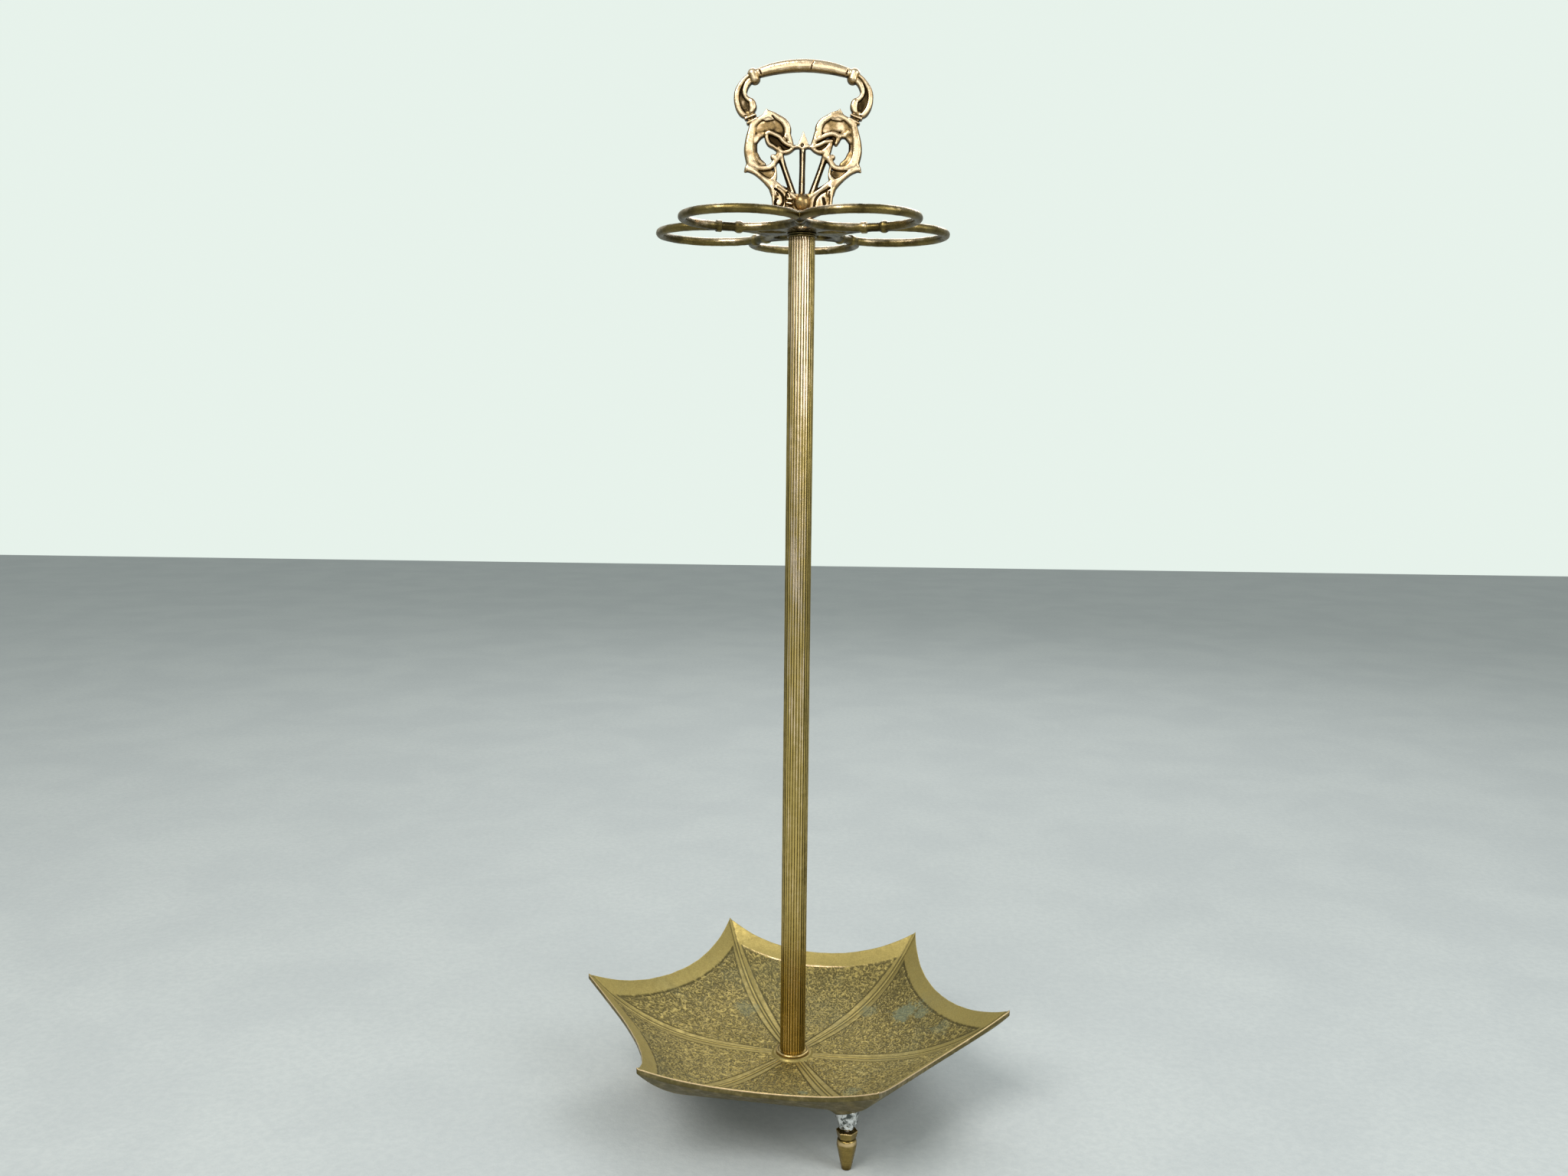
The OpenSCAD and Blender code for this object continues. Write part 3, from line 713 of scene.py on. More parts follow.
def make_post():
    per_reed = 12
    cols = REEDS * per_reed
    edge = [[POST_BORE_R, POST_Z0 + 0.1], [POST_R - 0.35, POST_Z0], [POST_R - 0.1, POST_Z0 + 0.12],
            [POST_R, POST_Z0 + 0.35]]
    middle = [[POST_R, z] for z in np.linspace(POST_Z0 + 3, POST_Z1 - 3, 150)]
    top = [[POST_R, POST_Z1 - 0.35], [POST_R - 0.1, POST_Z1 - 0.12], [POST_R - 0.35, POST_Z1],
           [POST_BORE_R, POST_Z1 - 0.1]]

    def shape(r, z, a):
        p = np.stack([9 * np.cos(a), 9 * np.sin(a), z / 6], -1).reshape(-1, 3)
        dent = 0.05 * (noise(p, 3.0, 51).reshape(r.shape) - 1)
        cut = REED_DEPTH * (1 - np.abs(np.sin(a * REEDS / 2)) ** 0.8)
        return np.where(r > POST_BORE_R + 0.5, r - cut + dent, r)

    v, q, t = lathe(edge + middle + top, cols, shape)
    a = np.arctan2(v[:, 1], v[:, 0])
    crest = np.abs(np.sin(a * REEDS / 2))
    each = np.round(a * REEDS / (2 * math.pi))
    wander = noise(np.stack([each * 1.7, v[:, 2] / 40, np.zeros(len(v))], -1), 1.0, 52)
    long = noise(np.stack([v[:, 0] / 8, v[:, 1] / 8, v[:, 2] / 60], -1), 1.0, 53)
    # Painted highlight down the side of the tube turned to the camera, weaker lower down
    degrees = np.degrees(a)
    front = smoothstep(-146, -126, degrees) * smoothstep(-48, -60, degrees)
    relief = np.clip(crest ** 1.3 * (0.72 + 0.2 * front) + 0.22 * front + 0.12 * wander, 0, 1)
    front *= 0.4 + 0.6 * smoothstep(100, 460, v[:, 2])
    wear_and_highlight = 0.42 * crest ** 2.4 + 0.30 * wander + 0.2 * long + 0.46 * front - 0.2
    wear_and_highlight = np.clip(wear_and_highlight, 0, 1)
    wear_and_highlight += 0.45 * smoothstep(480, 600, v[:, 2]) * crest ** 2
    wear_and_highlight += 0.20 * smoothstep(110, 40, v[:, 2]) * crest ** 3
    post = add_piece("post_reeded_tube", v, q, t, {"relief": relief, "wear_and_highlight": np.clip(wear_and_highlight, 0, 1)})
    finish_piece(post, tube_brass, "tube_brass", "post_tube")


def make_base_collar():
    base = [[3.3, 33.6], [11.6, 33.6], [12.2, 33.75], [12.55, 34.1], [12.7, 34.6],
            [12.6, 35.1], [12.2, 35.5], [11.6, 35.65], [11.0, 35.6], [10.6, 35.72],
            [10.1, 35.8], [7.95, 35.8], [7.95, 44.5], [7.65, 44.8], [3.3, 44.8]]
    v, q, t = lathe(base, 120)
    r = np.hypot(v[:, 0], v[:, 1])
    relief = 0.75 - 0.6 * bell(r - 10.9, 0.5)
    # Painted highlight along the rounded rim of the flange
    wear_and_highlight = 0.22 + 0.55 * bell(r - 12.3, 0.7)
    finish_piece(add_piece("base_collar_ring", v, q, t, {"relief": relief, "wear_and_highlight": wear_and_highlight}),
                 foot_brass, "foot_brass", "base_collar")


def make_top_collar():
    top = [[3.3, 625.3], [7.65, 625.3], [7.95, 625.6], [7.95, 634.3], [9.6, 634.3],
           [10.3, 634.42], [10.6, 634.8], [10.45, 635.2], [10.0, 635.45], [9.75, 635.6],
           [9.9, 635.9], [10.35, 636.1], [10.5, 636.4], [10.3, 636.8], [9.8, 637.0],
           [3.3, 637.0]]
    v, q, t = lathe(top, 120)
    relief = 0.5 - 0.4 * bell(v[:, 2] - 635.6, 0.4)
    wear_and_highlight = 0.15 + 0.25 * bell(v[:, 2] - 636.4, 0.5) + 0.25 * bell(v[:, 2] - 634.8, 0.5)
    finish_piece(add_piece("top_collar_ring", v, q, t, {"relief": relief, "wear_and_highlight": wear_and_highlight}),
                 rack_brass, "rack_brass", "top_collar")


# ---- Rack


def smooth_max(a, b, k):
    """The greater of two fields, with a fillet of about k where they meet."""
    return np.maximum(a, b) + np.maximum(k - np.abs(a - b), 0) ** 2 / (4 * k)


def rack_field(x, y, z):
    """Above zero inside the rings, their web and their beads."""
    h = z - RACK_Z
    rings = []
    for k in range(5):
        a = math.radians(90 + 72 * k)
        cx, cy = RING_CENTRE_R * math.cos(a), RING_CENTRE_R * math.sin(a)
        rings.append(np.hypot(x - cx, y - cy) - RING_R)
    nearest = np.minimum.reduce([np.abs(r) for r in rings])
    bars = RING_BAR_R - np.hypot(nearest, h)
    web = np.minimum(50 - np.hypot(x, y), np.minimum.reduce(rings) + 1.0)
    beads = np.full_like(bars, -10.0)
    for k in range(5):
        a = math.radians(90 + 72 * (k + 0.5))
        u, v = x * math.cos(a) + y * math.sin(a), -x * math.sin(a) + y * math.cos(a)
        mid, half, wide = 21.9, 10.1, 5.6
        across = v / (wide * (1 + 0.2 * np.clip((u - mid) / half, -1, 1)))
        hole = wide * (np.hypot((u - mid) / half, across) - 1)
        web = np.where(u > 0, np.minimum(web, hole), web)
        at_ball, at_ring = OUTER_BEAD_R, INNER_BEAD_R
        if k not in (0, 3):
            at_ball, at_ring = at_ring, at_ball
        ball = 4.4 - np.sqrt((u - at_ball) ** 2 + v ** 2 + h ** 2)
        ring = np.maximum(np.abs(u - at_ring) / 1.9, np.hypot(v / 4.5, h / 4.1) ** 2)
        beads = np.maximum(beads, np.maximum(ball, (1 - ring) * 1.5))
    web = np.minimum(web, np.hypot(x, y) - ROD_HOLE_R)
    plate = (WEB_Z1 - WEB_Z0) / 2 - np.abs(z - (WEB_Z0 + WEB_Z1) / 2)
    web = -smooth_max(-web, -plate, 1.2)
    return smooth_max(smooth_max(bars, web, 1.0), beads, 0.5)


def make_rack():
    cell = 0.62
    lo, hi = box_mm("ring_rack")
    axes = [np.arange(lo[i] - 2, hi[i] + 2, cell) for i in range(3)]
    x, y, z = np.meshgrid(*axes, indexing="ij")
    field = rack_field(x, y, z)
    verts, quads = surface_nets(field, [a[0] for a in axes], cell)
    for _ in range(2):
        verts = relaxed(verts, quads, 1, 0.4)
        f = rack_field(*verts.T)
        step = 0.05
        slope = np.stack([(rack_field(*(verts + d).T) - rack_field(*(verts - d).T)) / (2 * step)
                          for d in np.eye(3) * step], -1)
        verts = verts - slope * (f / np.maximum((slope ** 2).sum(1), 0.2))[:, None]
    n = normals(verts, quads)
    verts = verts + n * (0.10 * noise(verts, 5.0, 61) + 0.05 * noise(verts, 1.8, 62)
                         - 0.12)[:, None]
    verts = np.clip(verts, lo, hi)
    r, angle = np.hypot(verts[:, 0], verts[:, 1]), np.arctan2(verts[:, 1], verts[:, 0])
    joint = np.abs((np.degrees(angle) - 54 + 36) % 72 - 36)
    near = bell(joint * r * math.pi / 180, 6.0)
    bead = near * (bell(r - OUTER_BEAD_R, 2.6) + bell(r - INNER_BEAD_R, 4.2))
    patch = noise(verts, 16, 63)
    relief = np.clip(0.55 + 0.3 * patch + 0.3 * bead - 0.35 * near * (r < 68) * (1 - bead), 0, 1)
    # Painted highlight on the upper sides of the bars, with wear on the beads and at random
    wear_and_highlight = np.clip(0.30 + 0.34 * noise(verts, 22, 64) + 0.30 * n[:, 2] + 0.40 * bead, 0, 1)
    rack = add_piece("ring_rack_casting", verts, quads, values={"relief": relief, "wear_and_highlight": wear_and_highlight})
    finish_piece(rack, rack_brass, "rack_brass", "ring_rack")


# ---- Handle

# Strands of the casting on its left half. Each row is [x, z, half width, half depth].
ARM = [
    [[-36.4, 745.2, 1.2, 2.8], [-41.6, 740.6, 1.5, 3.5], [-45.6, 733.8, 2.0, 4.0],
     [-46.3, 727.2, 2.1, 4.1], [-44.9, 721.6, 2.2, 4.1], [-42.4, 718.0, 2.2, 4.0],
     [-39.8, 716.4, 1.6, 3.6]],
    [[-35.0, 742.0, 2.4, 3.2], [-38.9, 738.4, 2.2, 3.5], [-40.9, 733.6, 1.9, 3.6],
     [-40.6, 730.4, 1.7, 3.5], [-38.6, 727.9, 1.8, 3.6], [-36.0, 726.6, 2.0, 3.7]],
    [[-35.6, 725.2, 2.7, 4.1], [-35.2, 722.4, 2.8, 4.2], [-36.0, 719.4, 2.1, 3.9]],
    [[-40.5, 737.5, 2.6, 1.9], [-43.0, 731.0, 2.8, 1.8], [-41.5, 724.5, 3.8, 1.9],
     [-39.0, 719.5, 2.9, 2.2]],
    [[-38.6, 717.2, 3.0, 3.1], [-36.4, 714.0, 2.6, 3.1], [-35.0, 710.8, 3.0, 3.4]],
    [[-40.0, 714.6, 1.1, 3.9], [-33.6, 717.2, 1.1, 3.9]],
    [[-38.6, 711.6, 1.0, 3.9], [-32.4, 714.8, 1.0, 3.9]],
]
SCROLL = [
    [[-34.4, 711.4, 2.4, 3.1], [-35.2, 705.5, 3.5, 2.9], [-36.0, 699.5, 4.2, 2.8],
     [-36.4, 693.5, 4.6, 2.8], [-35.6, 687.8, 4.6, 2.9], [-34.4, 683.6, 4.2, 3.4]],
    [[-34.8, 711.4, 2.3, 3.7], [-36.2, 705.5, 2.7, 3.9], [-37.2, 699.5, 3.2, 4.1],
     [-37.6, 693.5, 3.5, 4.1], [-36.6, 687.8, 3.6, 4.1], [-35.0, 684.0, 3.8, 4.0]],
    [[-36.0, 683.8, 3.4, 3.8], [-38.2, 681.4, 2.3, 3.4], [-40.4, 679.2, 0.7, 2.6]],
    [[-33.6, 690.0, 3.0, 2.8], [-31.6, 686.0, 3.2, 2.8], [-28.0, 683.4, 2.6, 2.9]],
    [[-33.4, 699.6, 2.2, 2.8], [-31.0, 703.0, 2.6, 2.8], [-27.6, 704.4, 1.8, 2.8]],
    [[-34.5, 683.8, 3.2, 4.0], [-30.8, 681.7, 2.3, 3.9], [-26.5, 681.2, 2.1, 3.9],
     [-22.6, 682.0, 2.1, 3.9], [-20.2, 684.4, 2.1, 3.8], [-18.6, 687.4, 2.1, 3.7]],
    [[-20.6, 688.8, 2.1, 3.7], [-19.2, 688.3, 2.4, 3.8]],
    [[-18.4, 686.5, 1.9, 3.6], [-16.8, 689.5, 2.3, 3.6], [-16.0, 693.0, 2.5, 3.6]],
    [[-31.5, 680.0, 2.6, 1.9], [-26.5, 677.8, 3.4, 1.7], [-22.0, 677.0, 3.4, 1.7]],
    [[-38.6, 681.0, 1.9, 3.6], [-33.8, 679.2, 2.0, 3.9], [-30.0, 676.4, 1.9, 4.0],
     [-26.4, 673.6, 2.2, 4.1], [-23.0, 671.4, 3.2, 4.2], [-20.6, 668.6, 3.4, 4.4],
     [-19.4, 664.0, 3.0, 4.6]],
    [[-21.0, 672.8, 2.6, 4.0], [-19.4, 675.4, 1.6, 3.7], [-18.9, 678.6, 1.0, 3.0],
     [-19.6, 683.0, 1.1, 3.2]],
]
# The leaf that curls over the top of each scroll, with a point at its back
CREST = [
    [[-34.2, 711.0, 2.6, 3.5], [-31.4, 713.4, 2.1, 3.8], [-28.0, 715.4, 2.0, 4.0],
     [-24.6, 716.5, 1.9, 4.1], [-21.8, 715.6, 1.4, 4.0]],
    [[-24.6, 718.6, 1.5, 3.8], [-21.2, 717.6, 2.0, 4.1], [-17.4, 715.3, 2.3, 4.2],
     [-13.6, 712.8, 2.6, 4.2], [-11.3, 709.2, 2.8, 4.2], [-10.9, 705.4, 2.6, 4.0],
     [-11.6, 702.2, 2.2, 3.9]],
]
LIPS = [
    # Upper lip, from its curl to the point that it shares with the lower one
    [[-25.6, 704.4, 1.5, 3.6], [-23.4, 705.4, 2.0, 4.0], [-20.0, 704.2, 1.9, 4.1],
     [-16.4, 702.4, 1.9, 4.1], [-13.6, 699.4, 1.9, 4.1], [-10.4, 697.2, 1.8, 4.0],
     [-6.4, 695.8, 1.5, 3.6]],
    [[-12.0, 702.4, 1.7, 4.4], [-11.8, 702.2, 1.7, 4.4]],
    [[-10.0, 704.0, 1.7, 3.8], [-9.3, 700.6, 2.2, 3.8], [-8.2, 697.4, 1.9, 3.6]],
    # Lower lip and the side of the mouth
    [[-25.4, 704.6, 1.8, 3.6], [-25.1, 701.0, 1.7, 3.7], [-23.6, 697.9, 1.8, 3.8],
     [-20.6, 696.0, 1.6, 3.9], [-17.4, 694.0, 1.7, 3.9], [-13.6, 692.2, 1.7, 3.9],
     [-9.8, 692.8, 1.6, 3.8], [-6.6, 695.0, 1.4, 3.5]],
    [[-16.4, 695.0, 1.7, 3.6], [-15.8, 692.0, 2.1, 3.6], [-15.4, 689.4, 2.0, 3.6]],
]
LEAF_LIPS = [
    [[-25.0, 702.4, 2.2, 3.8], [-22.0, 704.4, 2.3, 4.1], [-18.0, 704.2, 2.1, 4.1],
     [-13.4, 702.4, 2.0, 4.1], [-9.6, 700.4, 1.9, 4.0]],
    [[-9.4, 704.6, 2.0, 3.9], [-8.6, 700.4, 2.2, 3.9], [-7.0, 696.8, 1.8, 3.6]],
    [[-24.2, 700.4, 1.9, 3.7], [-23.0, 697.8, 1.4, 3.6]],
    [[-25.4, 703.6, 1.8, 3.4], [-28.8, 703.4, 1.8, 3.2], [-31.8, 705.6, 2.2, 3.4]],
    [[-19.8, 699.6, 1.7, 3.6], [-15.6, 699.0, 1.8, 3.9], [-11.4, 697.0, 1.8, 3.9],
     [-6.6, 695.6, 1.7, 3.6]],
    [[-18.6, 696.4, 2.2, 3.6], [-15.6, 693.0, 2.4, 3.7], [-12.0, 692.2, 1.9, 3.7],
     [-8.6, 693.4, 1.6, 3.5], [-6.4, 695.0, 1.4, 3.4]],
    [[-19.4, 697.4, 1.6, 3.4], [-17.6, 692.0, 2.0, 3.5], [-15.6, 689.4, 2.1, 3.6]],
]
# Hollows behind the strands: [x, z, half width], then the depth left there
DISHES = [
    ([[-31.2, 706.8, 3.4], [-27.4, 709.6, 4.0], [-23.2, 709.8, 4.4]], 2.6),
    ([[-22.4, 710.2, 4.2], [-18.4, 709.2, 4.6], [-15.2, 706.6, 4.6]], 2.3),
    ([[-30.2, 711.4, 2.2], [-26.4, 713.2, 2.2], [-20.4, 713.0, 2.4], [-15.0, 709.6, 2.4]], 2.2),
    ([[-24.0, 701.8, 1.9], [-22.0, 700.4, 2.4], [-18.6, 698.9, 2.7], [-15.0, 696.0, 2.6],
      [-11.0, 694.6, 1.9]], 1.1),
]
SPOKES = [
    [[-15.4, 690.2, 2.0, 3.3], [-13.4, 683.0, 1.05, 3.0], [-10.0, 673.5, 1.0, 3.0],
     [-6.4, 663.6, 1.2, 3.1]],
    [[-15.6, 689.0, 2.6, 1.6], [-13.4, 683.0, 2.2, 1.4], [-10.0, 673.5, 2.2, 1.4],
     [-6.4, 663.6, 2.4, 1.8]],
    [[-19.6, 671.0, 2.4, 4.0], [-16.4, 669.4, 1.6, 3.6], [-12.4, 666.6, 1.2, 3.5],
     [-8.4, 664.0, 1.2, 3.5], [-5.0, 661.2, 1.5, 3.7]],
    [[-19.6, 670.0, 2.8, 1.9], [-12.4, 666.4, 2.5, 1.9], [-6.0, 662.4, 2.8, 2.2]],
]
PEDESTAL = [
    [[-19.7, 653.4, 1.2, 4.8], [-19.9, 657.0, 1.2, 4.8], [-20.4, 663.0, 1.3, 4.8],
     [-20.6, 667.6, 1.8, 4.7]],
    [[-19.2, 653.6, 1.2, 4.6], [-11.0, 650.8, 1.3, 4.8], [-5.4, 647.6, 1.6, 5.2],
     [-5.4, 642.6, 1.5, 5.2]],
]
MIDDLE = [
    [[-0.2, 694.6, 1.05, 3.3], [-0.3, 680.0, 1.0, 3.1], [-0.5, 664.0, 1.2, 3.3]],
    [[-0.2, 694.6, 2.3, 1.7], [-0.3, 680.0, 2.1, 1.4], [-0.5, 664.0, 2.3, 1.8]],
    [[-7.6, 695.4, 1.3, 3.2], [-3.4, 696.0, 1.5, 3.4], [3.4, 696.0, 1.5, 3.4],
     [7.6, 695.4, 1.3, 3.2]],
    [[0.0, 692.6, 1.4, 3.1], [0.0, 694.6, 1.9, 3.3]],
]
SPEAR = [(-4.9, 696.4), (-3.6, 697.0), (0.3, 706.4), (4.2, 697.0), (4.9, 696.4), (2.2, 694.4),
         (-2.0, 694.4)]
# Lumps of leaf beside the boss: [x, z, half width, half depth]
LEAF_LUMPS = [
    [[-11.4, 664.8, 0.8, 4.4], [-9.6, 663.4, 1.3, 4.9], [-8.8, 661.2, 1.2, 4.9]],
    [[-13.0, 661.8, 0.9, 4.3], [-10.6, 660.4, 1.3, 5.0], [-7.6, 660.0, 1.5, 5.4]],
    [[-12.6, 657.8, 0.8, 4.3], [-10.2, 657.4, 1.2, 4.9], [-7.4, 656.8, 1.6, 5.5]],
    [[-13.6, 653.6, 0.9, 4.2], [-10.6, 654.2, 1.3, 4.8], [-7.2, 653.6, 1.5, 5.2]],
    [[-7.6, 650.8, 1.4, 4.8], [-4.8, 650.2, 1.5, 5.0]],
]
# Lines cut into the faces. Each row is [x, z, half width], then the depth left under it.
CUTS = [
    ([[-19.2, 667.0, 0.7], [-16.6, 665.4, 0.8], [-14.0, 662.6, 0.9], [-13.2, 658.8, 0.9],
      [-14.4, 655.6, 0.9], [-17.2, 654.8, 1.0], [-19.0, 656.8, 0.9], [-18.4, 659.4, 0.8],
      [-17.4, 660.2, 0.7]], 2.0),
    ([[-17.4, 664.2, 0.8], [-16.8, 662.6, 0.9]], 2.6),
    ([[-9.8, 665.6, 0.6], [-11.2, 663.0, 0.7], [-11.8, 659.0, 0.6], [-11.6, 655.6, 0.6]], 2.4),
    ([[-0.4, 695.7, 0.34], [0.5, 696.6, 0.34], [-0.4, 697.5, 0.34], [-1.3, 696.6, 0.34],
      [-0.4, 695.7, 0.34]], 2.4),
    ([[6.9, 755.6, 0.3], [6.7, 752.4, 0.32], [5.7, 750.4, 0.32], [5.3, 748.4, 0.32],
      [4.4, 745.4, 0.3]], 2.6),
    ([[-21.6, 716.4, 0.4], [-19.8, 714.2, 0.5], [-21.2, 712.6, 0.5], [-19.6, 710.2, 0.5],
      [-20.2, 707.6, 0.4]], 2.3),
]
RIGHT_CUTS = [
    ([[19.0, 667.6, 0.8], [16.4, 666.0, 0.8], [12.4, 663.6, 0.9], [9.2, 659.6, 0.9],
      [8.2, 654.4, 0.9]], 2.0),
    ([[12.6, 658.0, 0.5], [12.2, 661.4, 0.6], [14.4, 664.0, 0.6]], 2.8),
    ([[14.6, 660.6, 1.0], [15.5, 657.0, 1.2]], 2.0),
    ([[18.8, 665.0, 0.4], [18.0, 659.0, 0.4]], 2.9),
]
# Lines across the neck below each arm, given on the left
NECK_CUTS = [([[-40.4, 713.2, 0.42], [-33.2, 716.1, 0.42]], 2.6),
             ([[-40.8, 716.0, 0.36], [-34.0, 719.0, 0.36]], 2.8)]


def mirrored(strands):
    return [[[-row[0], *row[1:]] for row in strand] for strand in strands]


def from_line(x, z, a, b):
    """Distance of each place from the line a to b, and where along it the nearest point is."""
    d = (b - a)[:2]
    t = np.clip(((x - a[0]) * d[0] + (z - a[1]) * d[1]) / max(d @ d, 1e-9), 0, 1)
    return np.hypot(x - a[0] - t * d[0], z - a[1] - t * d[1]), t


class Relief:
    """A field over the handle, the same at its front and back."""

    def __init__(self, cell):
        self.cell = cell
        self.x = np.arange(-50.4, 50.4, cell)
        self.y = np.arange(-8.2, 8.2, cell)
        self.z = np.arange(639.6, 756.6, cell)
        self.field = np.full((len(self.x), len(self.y), len(self.z)), -3.0, np.float32)

    def window(self, low, high):
        i = np.searchsorted(self.x, (low[0], high[0]))
        k = np.searchsorted(self.z, (low[1], high[1]))
        return slice(*i), slice(*k)

    def around(self, rows, steps):
        """The window round a curve, and in it the least distance from the curve as a share
        of its half width, and the other columns of the curve's rows there."""
        path = curve(rows, steps)
        margin = path[:, 2].max() * 2 + 1
        ix, iz = self.window(path[:, :2].min(0) - margin, path[:, :2].max(0) + margin)
        x, z = np.meshgrid(self.x[ix], self.z[iz], indexing="ij")
        best = np.full(x.shape, 1e9)
        rest = np.zeros(x.shape + (path.shape[1] - 2,))
        for a, b in zip(path[:-1], path[1:]):
            gap, t = from_line(x, z, a, b)
            other = a[2:] + t[..., None] * (b[2:] - a[2:])
            share = gap / other[..., 0]
            closer = share < best
            best = np.where(closer, share, best)
            rest = np.where(closer[..., None], other, rest)
        return ix, iz, best[:, None, :], np.moveaxis(rest, -1, 0)[:, :, None, :]

    def strand(self, rows, power=2.2, steps=7, blend=0.45):
        """Adds a bar of rounded section along a curve."""
        ix, iz, share, (wide, thick) = self.around(rows, steps)
        depth = np.abs(self.y)[None, :, None] / thick
        s = (share ** power + depth ** power) ** (1 / power)
        made = (1 - s) * np.minimum(wide, thick)
        self.field[ix, :, iz] = smooth_max(self.field[ix, :, iz], made, blend)

    def cut(self, rows, floor, rise=0.8):
        """Cuts a groove along a curve, to the given depth from the middle plane."""
        ix, iz, share, (wide,) = self.around(rows, 7)
        deep = floor + rise * share ** 2 - np.abs(self.y)[None, :, None]
        groove = np.maximum((share - 1) * wide, deep)
        self.field[ix, :, iz] = np.minimum(self.field[ix, :, iz], groove)

    def plate(self, corners, depth, blend=0.5):
        """A flat plate with the given outline and rounded edges."""
        c = np.asarray(corners, float)
        ix, iz = self.window(c.min(0) - 3, c.max(0) + 3)
        x, z = np.meshgrid(self.x[ix], self.z[iz], indexing="ij")
        gap = np.full(x.shape, 1e9)
        inside = np.zeros(x.shape, bool)
        for a, b in zip(c, np.roll(c, -1, 0)):
            gap = np.minimum(gap, from_line(x, z, a, b)[0])
            crosses = (a[1] > z) != (b[1] > z)
            inside ^= crosses & (x < a[0] + (z - a[1]) * (b[0] - a[0]) / ((b[1] - a[1]) or 1e-9))
        flat = np.where(inside, gap, -gap)[:, None, :]
        thick = depth - np.abs(self.y)[None, :, None]
        made = -smooth_max(-flat, -thick, 0.8)
        self.field[ix, :, iz] = smooth_max(self.field[ix, :, iz], made, blend)


def handle_field():
    relief = Relief(0.36)
    left = [(-7.0, 641.3), (-6.9, 647.6), (-20.2, 652.4), (-20.9, 657.0), (-21.4, 662.0),
            (-22.4, 667.4), (-19.5, 670.0), (-12.0, 666.0), (-8.6, 664.0)]
    relief.plate(left + [(-x, z) for x, z in left[::-1]], 3.1)
    for strands in (ARM, SCROLL, CREST, SPOKES, PEDESTAL):
        for strand in strands + mirrored(strands):
            relief.strand(strand, 3.2)
    for strand in LIPS + mirrored(LEAF_LIPS):
        relief.strand(strand, 2.6)
    for rows, depth in DISHES:
        thick = [[*row, depth] for row in rows]
        shallow = [[*row, max(depth, 2.4)] for row in rows]
        relief.strand(thick, 4.0, blend=0.2)
        relief.strand(mirrored([shallow])[0], 4.0, blend=0.2)
    for side in (-1, 1):
        point = [(side * x, z) for x, z in ((-30.0, 714.6), (-25.6, 721.4), (-24.2, 720.4),
                                            (-17.6, 717.2), (-20.0, 713.6), (-26.0, 712.8))]
        relief.plate(point, 3.7)
    for strand in MIDDLE:
        relief.strand(strand, 2.8)
    relief.plate(SPEAR, 3.5)
    for strand in LEAF_LUMPS:
        relief.strand(strand, 2.2, blend=0.2)
    # The grip, a bar bent to an arc, with a ball at each end
    arc_r, bar_r = 98.0, 4.35
    middle_z = GRIP_TOP_Z - bar_r - arc_r
    span = math.asin(34.5 / arc_r)
    grip = [[arc_r * math.sin(a), middle_z + arc_r * math.cos(a),
             4.3 - 1.35 * (abs(a) / span) ** 2.4, 4.3 - 0.9 * (abs(a) / span) ** 2.4]
            for a in np.linspace(-span + 0.03, span - 0.03, 19)]
    relief.strand(grip, 2.5, 4, 0.1)
    for side in (-1, 1):
        ball = [[side * (34.6 + 0.62 * t), 743.3 + 1.7 * t, 4.0, 4.9] for t in (-1, 1)]
        relief.strand(ball, 2.1, 3, 0.1)
        ring = [[side * (30.1 + 1.2 * t), 745.9 + 3.3 * t, 0.5] for t in (-1, 1)]
        relief.cut(ring, 2.7, 0.2)
    relief.strand([[x, HANDLE_BOSS_Z, 6.35, 7.3] for x in (-0.01, 0.01)], 2.0, 2, 0.15)
    right_neck_cuts = [(mirrored([rows])[0], floor) for rows, floor in NECK_CUTS]
    for rows, floor in CUTS + RIGHT_CUTS + NECK_CUTS + right_neck_cuts:
        relief.cut(rows, floor)
    return relief


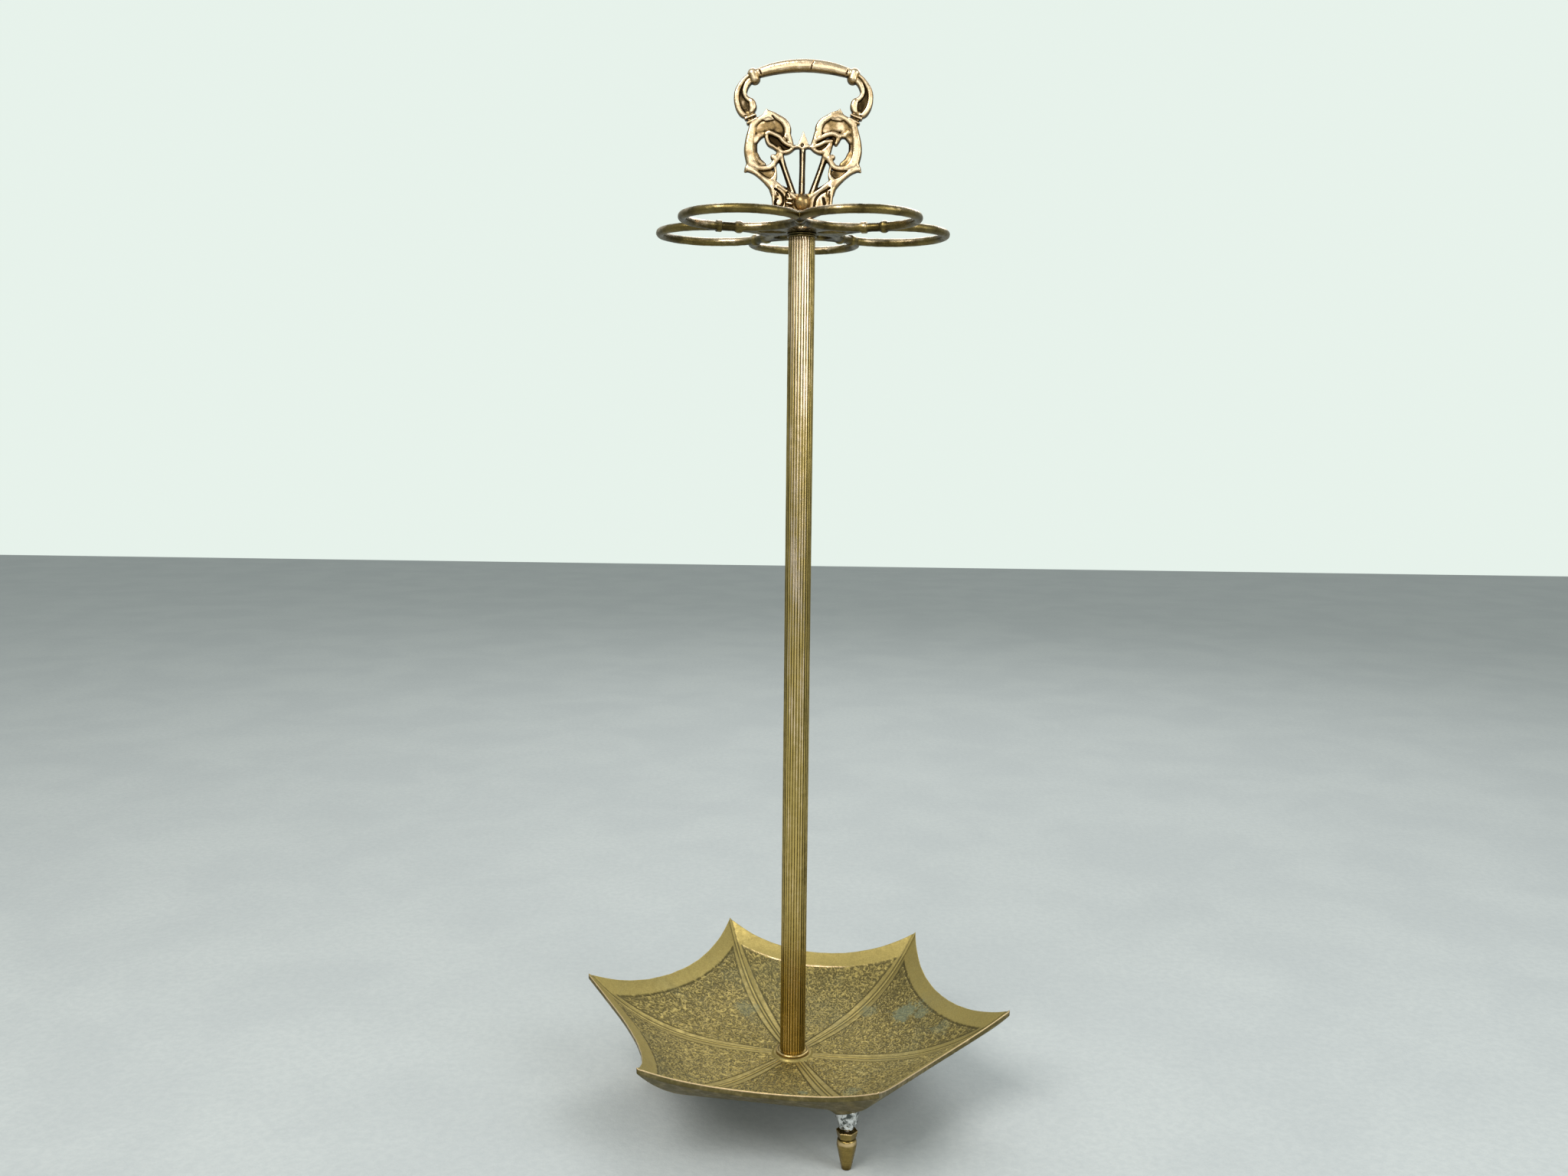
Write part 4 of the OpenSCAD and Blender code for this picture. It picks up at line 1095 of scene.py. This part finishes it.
def handle_tones(verts, quads, n):
    """How far each place of the handle stands out, with painted shade where it turns from
    the camera, and how worn it is, with painted highlights where it faces the camera.
    """
    x, y, z = np.abs(verts).T
    facing = np.abs(n[:, 1])
    # How far each place stands in front of what surrounds it
    proud = np.sum((verts - relaxed(verts, quads, 14, 0.6)) * n, axis=1)
    # Painted shade: darker on the sides turned from the camera and on the floors of the hollows
    level = smoothstep(0.6, 3.2, y) - 0.45 * smoothstep(3.3, 2.4, y) * (facing > 0.4)
    side = smoothstep(0.30, 0.72, facing)
    floor = side * smoothstep(3.1, 1.9, y)
    relief_and_shade = np.clip(0.30 + 0.5 * side * level - 0.3 * floor + 1.8 * proud, 0, 1)
    tone = 0.30 * noise(verts, 6.5, 73) + 0.16 * noise(verts, 2.6, 74)
    # Painted highlight on the faces turned to the camera, with wear on the proud places and random
    # tone
    wear_and_highlight = smoothstep(0.70, 0.98, facing) * (0.05 + 0.60 * level) + 1.3 * proud + tone
    # Painted light in the hollows of the crests, arms and lower scrolls, which are open to the
    # light: they are made paler and get a painted highlight
    in_crest = smoothstep(704, 706.5, z) * smoothstep(9, 13, x) * (z < 717)
    in_arm = smoothstep(717, 720, z) * (z < 741)
    in_scroll = smoothstep(672, 675, z) * (x > 20) * (z < 684)
    open_hollow = floor * (np.maximum(in_crest, 0.55 * in_arm) + 0.9 * in_scroll)
    relief_and_shade = np.clip(relief_and_shade + open_hollow * (0.55 + 0.9 * tone), 0, 1)
    wear_and_highlight = np.clip(wear_and_highlight + open_hollow * (0.22 + 0.6 * tone), 0, 1)
    on_boss = bell(np.hypot(x, z - HANDLE_BOSS_Z) / 9, 1.0)
    wear_and_highlight = np.clip(wear_and_highlight - 0.75 * on_boss, 0, 1)
    # Painted highlight on the upper side of the grip, which is never dark
    on_grip = smoothstep(743, 746, z) * smoothstep(-0.3, 0.05, proud)
    wear_and_highlight = np.maximum(wear_and_highlight, on_grip * smoothstep(-0.55, 0.1, n[:, 2]) * 0.9)
    return np.maximum(relief_and_shade, on_grip * 0.55), wear_and_highlight


def make_handle():
    relief = handle_field()
    corner = [relief.x[0], relief.y[0], relief.z[0]]
    verts, quads = surface_nets(relief.field, corner, relief.cell)
    verts = relaxed(verts, quads, 2, 0.45)
    n = normals(verts, quads)
    verts = verts + n * (0.05 * noise(verts, 3.0, 71) + 0.03 * noise(verts, 1.2, 72))[:, None]
    verts = np.clip(verts, *box_mm("handle"))
    relief_and_shade, wear_and_highlight = handle_tones(verts, quads, n)
    handle = add_piece("handle_casting", verts, quads, values={"relief": relief_and_shade, "wear_and_highlight": wear_and_highlight})
    finish_piece(handle, handle_brass, "handle_brass", "handle")


# ---- Scene


def make_camera():
    """At the photograph's viewing angle."""
    data = bpy.data.cameras.new("camera")
    data.lens, data.sensor_width = 30.336, 36.0
    data.clip_start, data.clip_end = 0.05, 60
    camera = bpy.data.objects.new("camera", data)
    place = Vector((22.92, -951.54, 498.14)) * MM
    yaw, pitch, roll = math.radians(1.983), math.radians(-6.713), math.radians(0.593)
    camera.matrix_world = (Matrix.Translation(place) @ Matrix.Rotation(yaw, 4, "Z")
                           @ Matrix.Rotation(math.pi / 2 + pitch, 4, "X")
                           @ Matrix.Rotation(roll, 4, "Z"))
    bpy.context.scene.collection.objects.link(camera)
    bpy.context.scene.camera = camera


def make_floor():
    m = Maker("floor_grey")
    cloud = m.noise(6, 6, 0.6, 0.3)
    speck = m.noise(160, 4, 0.7)
    colour = m.mix(m.span(cloud, 0.35, 0.65), (0.465, 0.49, 0.49), (0.50, 0.525, 0.52))
    colour = m.mix(m.span(speck, 0.35, 0.65, 0.0, 0.3), colour, (0.38, 0.41, 0.42))
    material = m.done(colour, 0.8, m.bump(speck, 0.0004), 0.0)
    side, z = 4000.0, -0.02
    corners = [[-side, -side, z], [side, -side, z], [side, side, z], [-side, side, z]]
    floor = add_piece("floor", corners, [[0, 1, 2, 3]])
    floor.data.materials.append(material)


# Name, place, what it points at, size, power and colour of each light
LIGHTS = [
    ("key", (-0.9, -1.3, 1.9), (0, 0, 0.4), (1.2, 1.2), 36, (1.0, 0.98, 0.95)),
    ("fill", (1.4, -0.9, 1.1), (0, 0, 0.4), (1.0, 1.4), 14, (0.95, 0.98, 1.0)),
    ("back", (0.3, 1.4, 1.6), (0, 0, 0.4), (1.4, 0.8), 12, (1.0, 1.0, 1.0)),
    ("front", (0.1, -2.4, 1.0), (0, 0, 0.6), (1.8, 1.0), 9, (1.0, 0.97, 0.92)),
]


def make_light():
    """A pale backdrop that only the camera sees, a dimmer room, and four soft lights."""
    world = bpy.data.worlds.new("studio")
    bpy.context.scene.world = world
    world.use_nodes = True
    nodes, links = world.node_tree.nodes, world.node_tree.links
    nodes.clear()
    mix = nodes.new("ShaderNodeMixShader")
    path = nodes.new("ShaderNodeLightPath")
    links.new(path.outputs["Is Camera Ray"], mix.inputs[0])
    for socket, colour, strength in ((1, (0.85, 0.93, 0.90, 1), 0.55),
                                     (2, (0.80, 0.89, 0.83, 1), 1.0)):
        light = nodes.new("ShaderNodeBackground")
        light.inputs["Color"].default_value = colour
        light.inputs["Strength"].default_value = strength
        links.new(light.outputs[0], mix.inputs[socket])
    links.new(mix.outputs[0], nodes.new("ShaderNodeOutputWorld").inputs["Surface"])
    for name, place, target, size, power, colour in LIGHTS:
        data = bpy.data.lights.new(name, "AREA")
        data.shape, data.size, data.size_y = "RECTANGLE", *size
        data.energy, data.color = power, colour
        light = bpy.data.objects.new(name, data)
        light.location = place
        light.rotation_mode = "QUATERNION"
        light.rotation_quaternion = (Vector(target) - Vector(place)).to_track_quat("-Z", "Y")
        bpy.context.scene.collection.objects.link(light)


bpy.context.scene.view_settings.view_transform = "Standard"
make_camera()
make_floor()
make_light()
make_tray()
make_feet()
make_solder()
make_studs()
make_rod()
make_washer()
make_nut()
make_post()
make_base_collar()
make_top_collar()
make_rack()
make_handle()
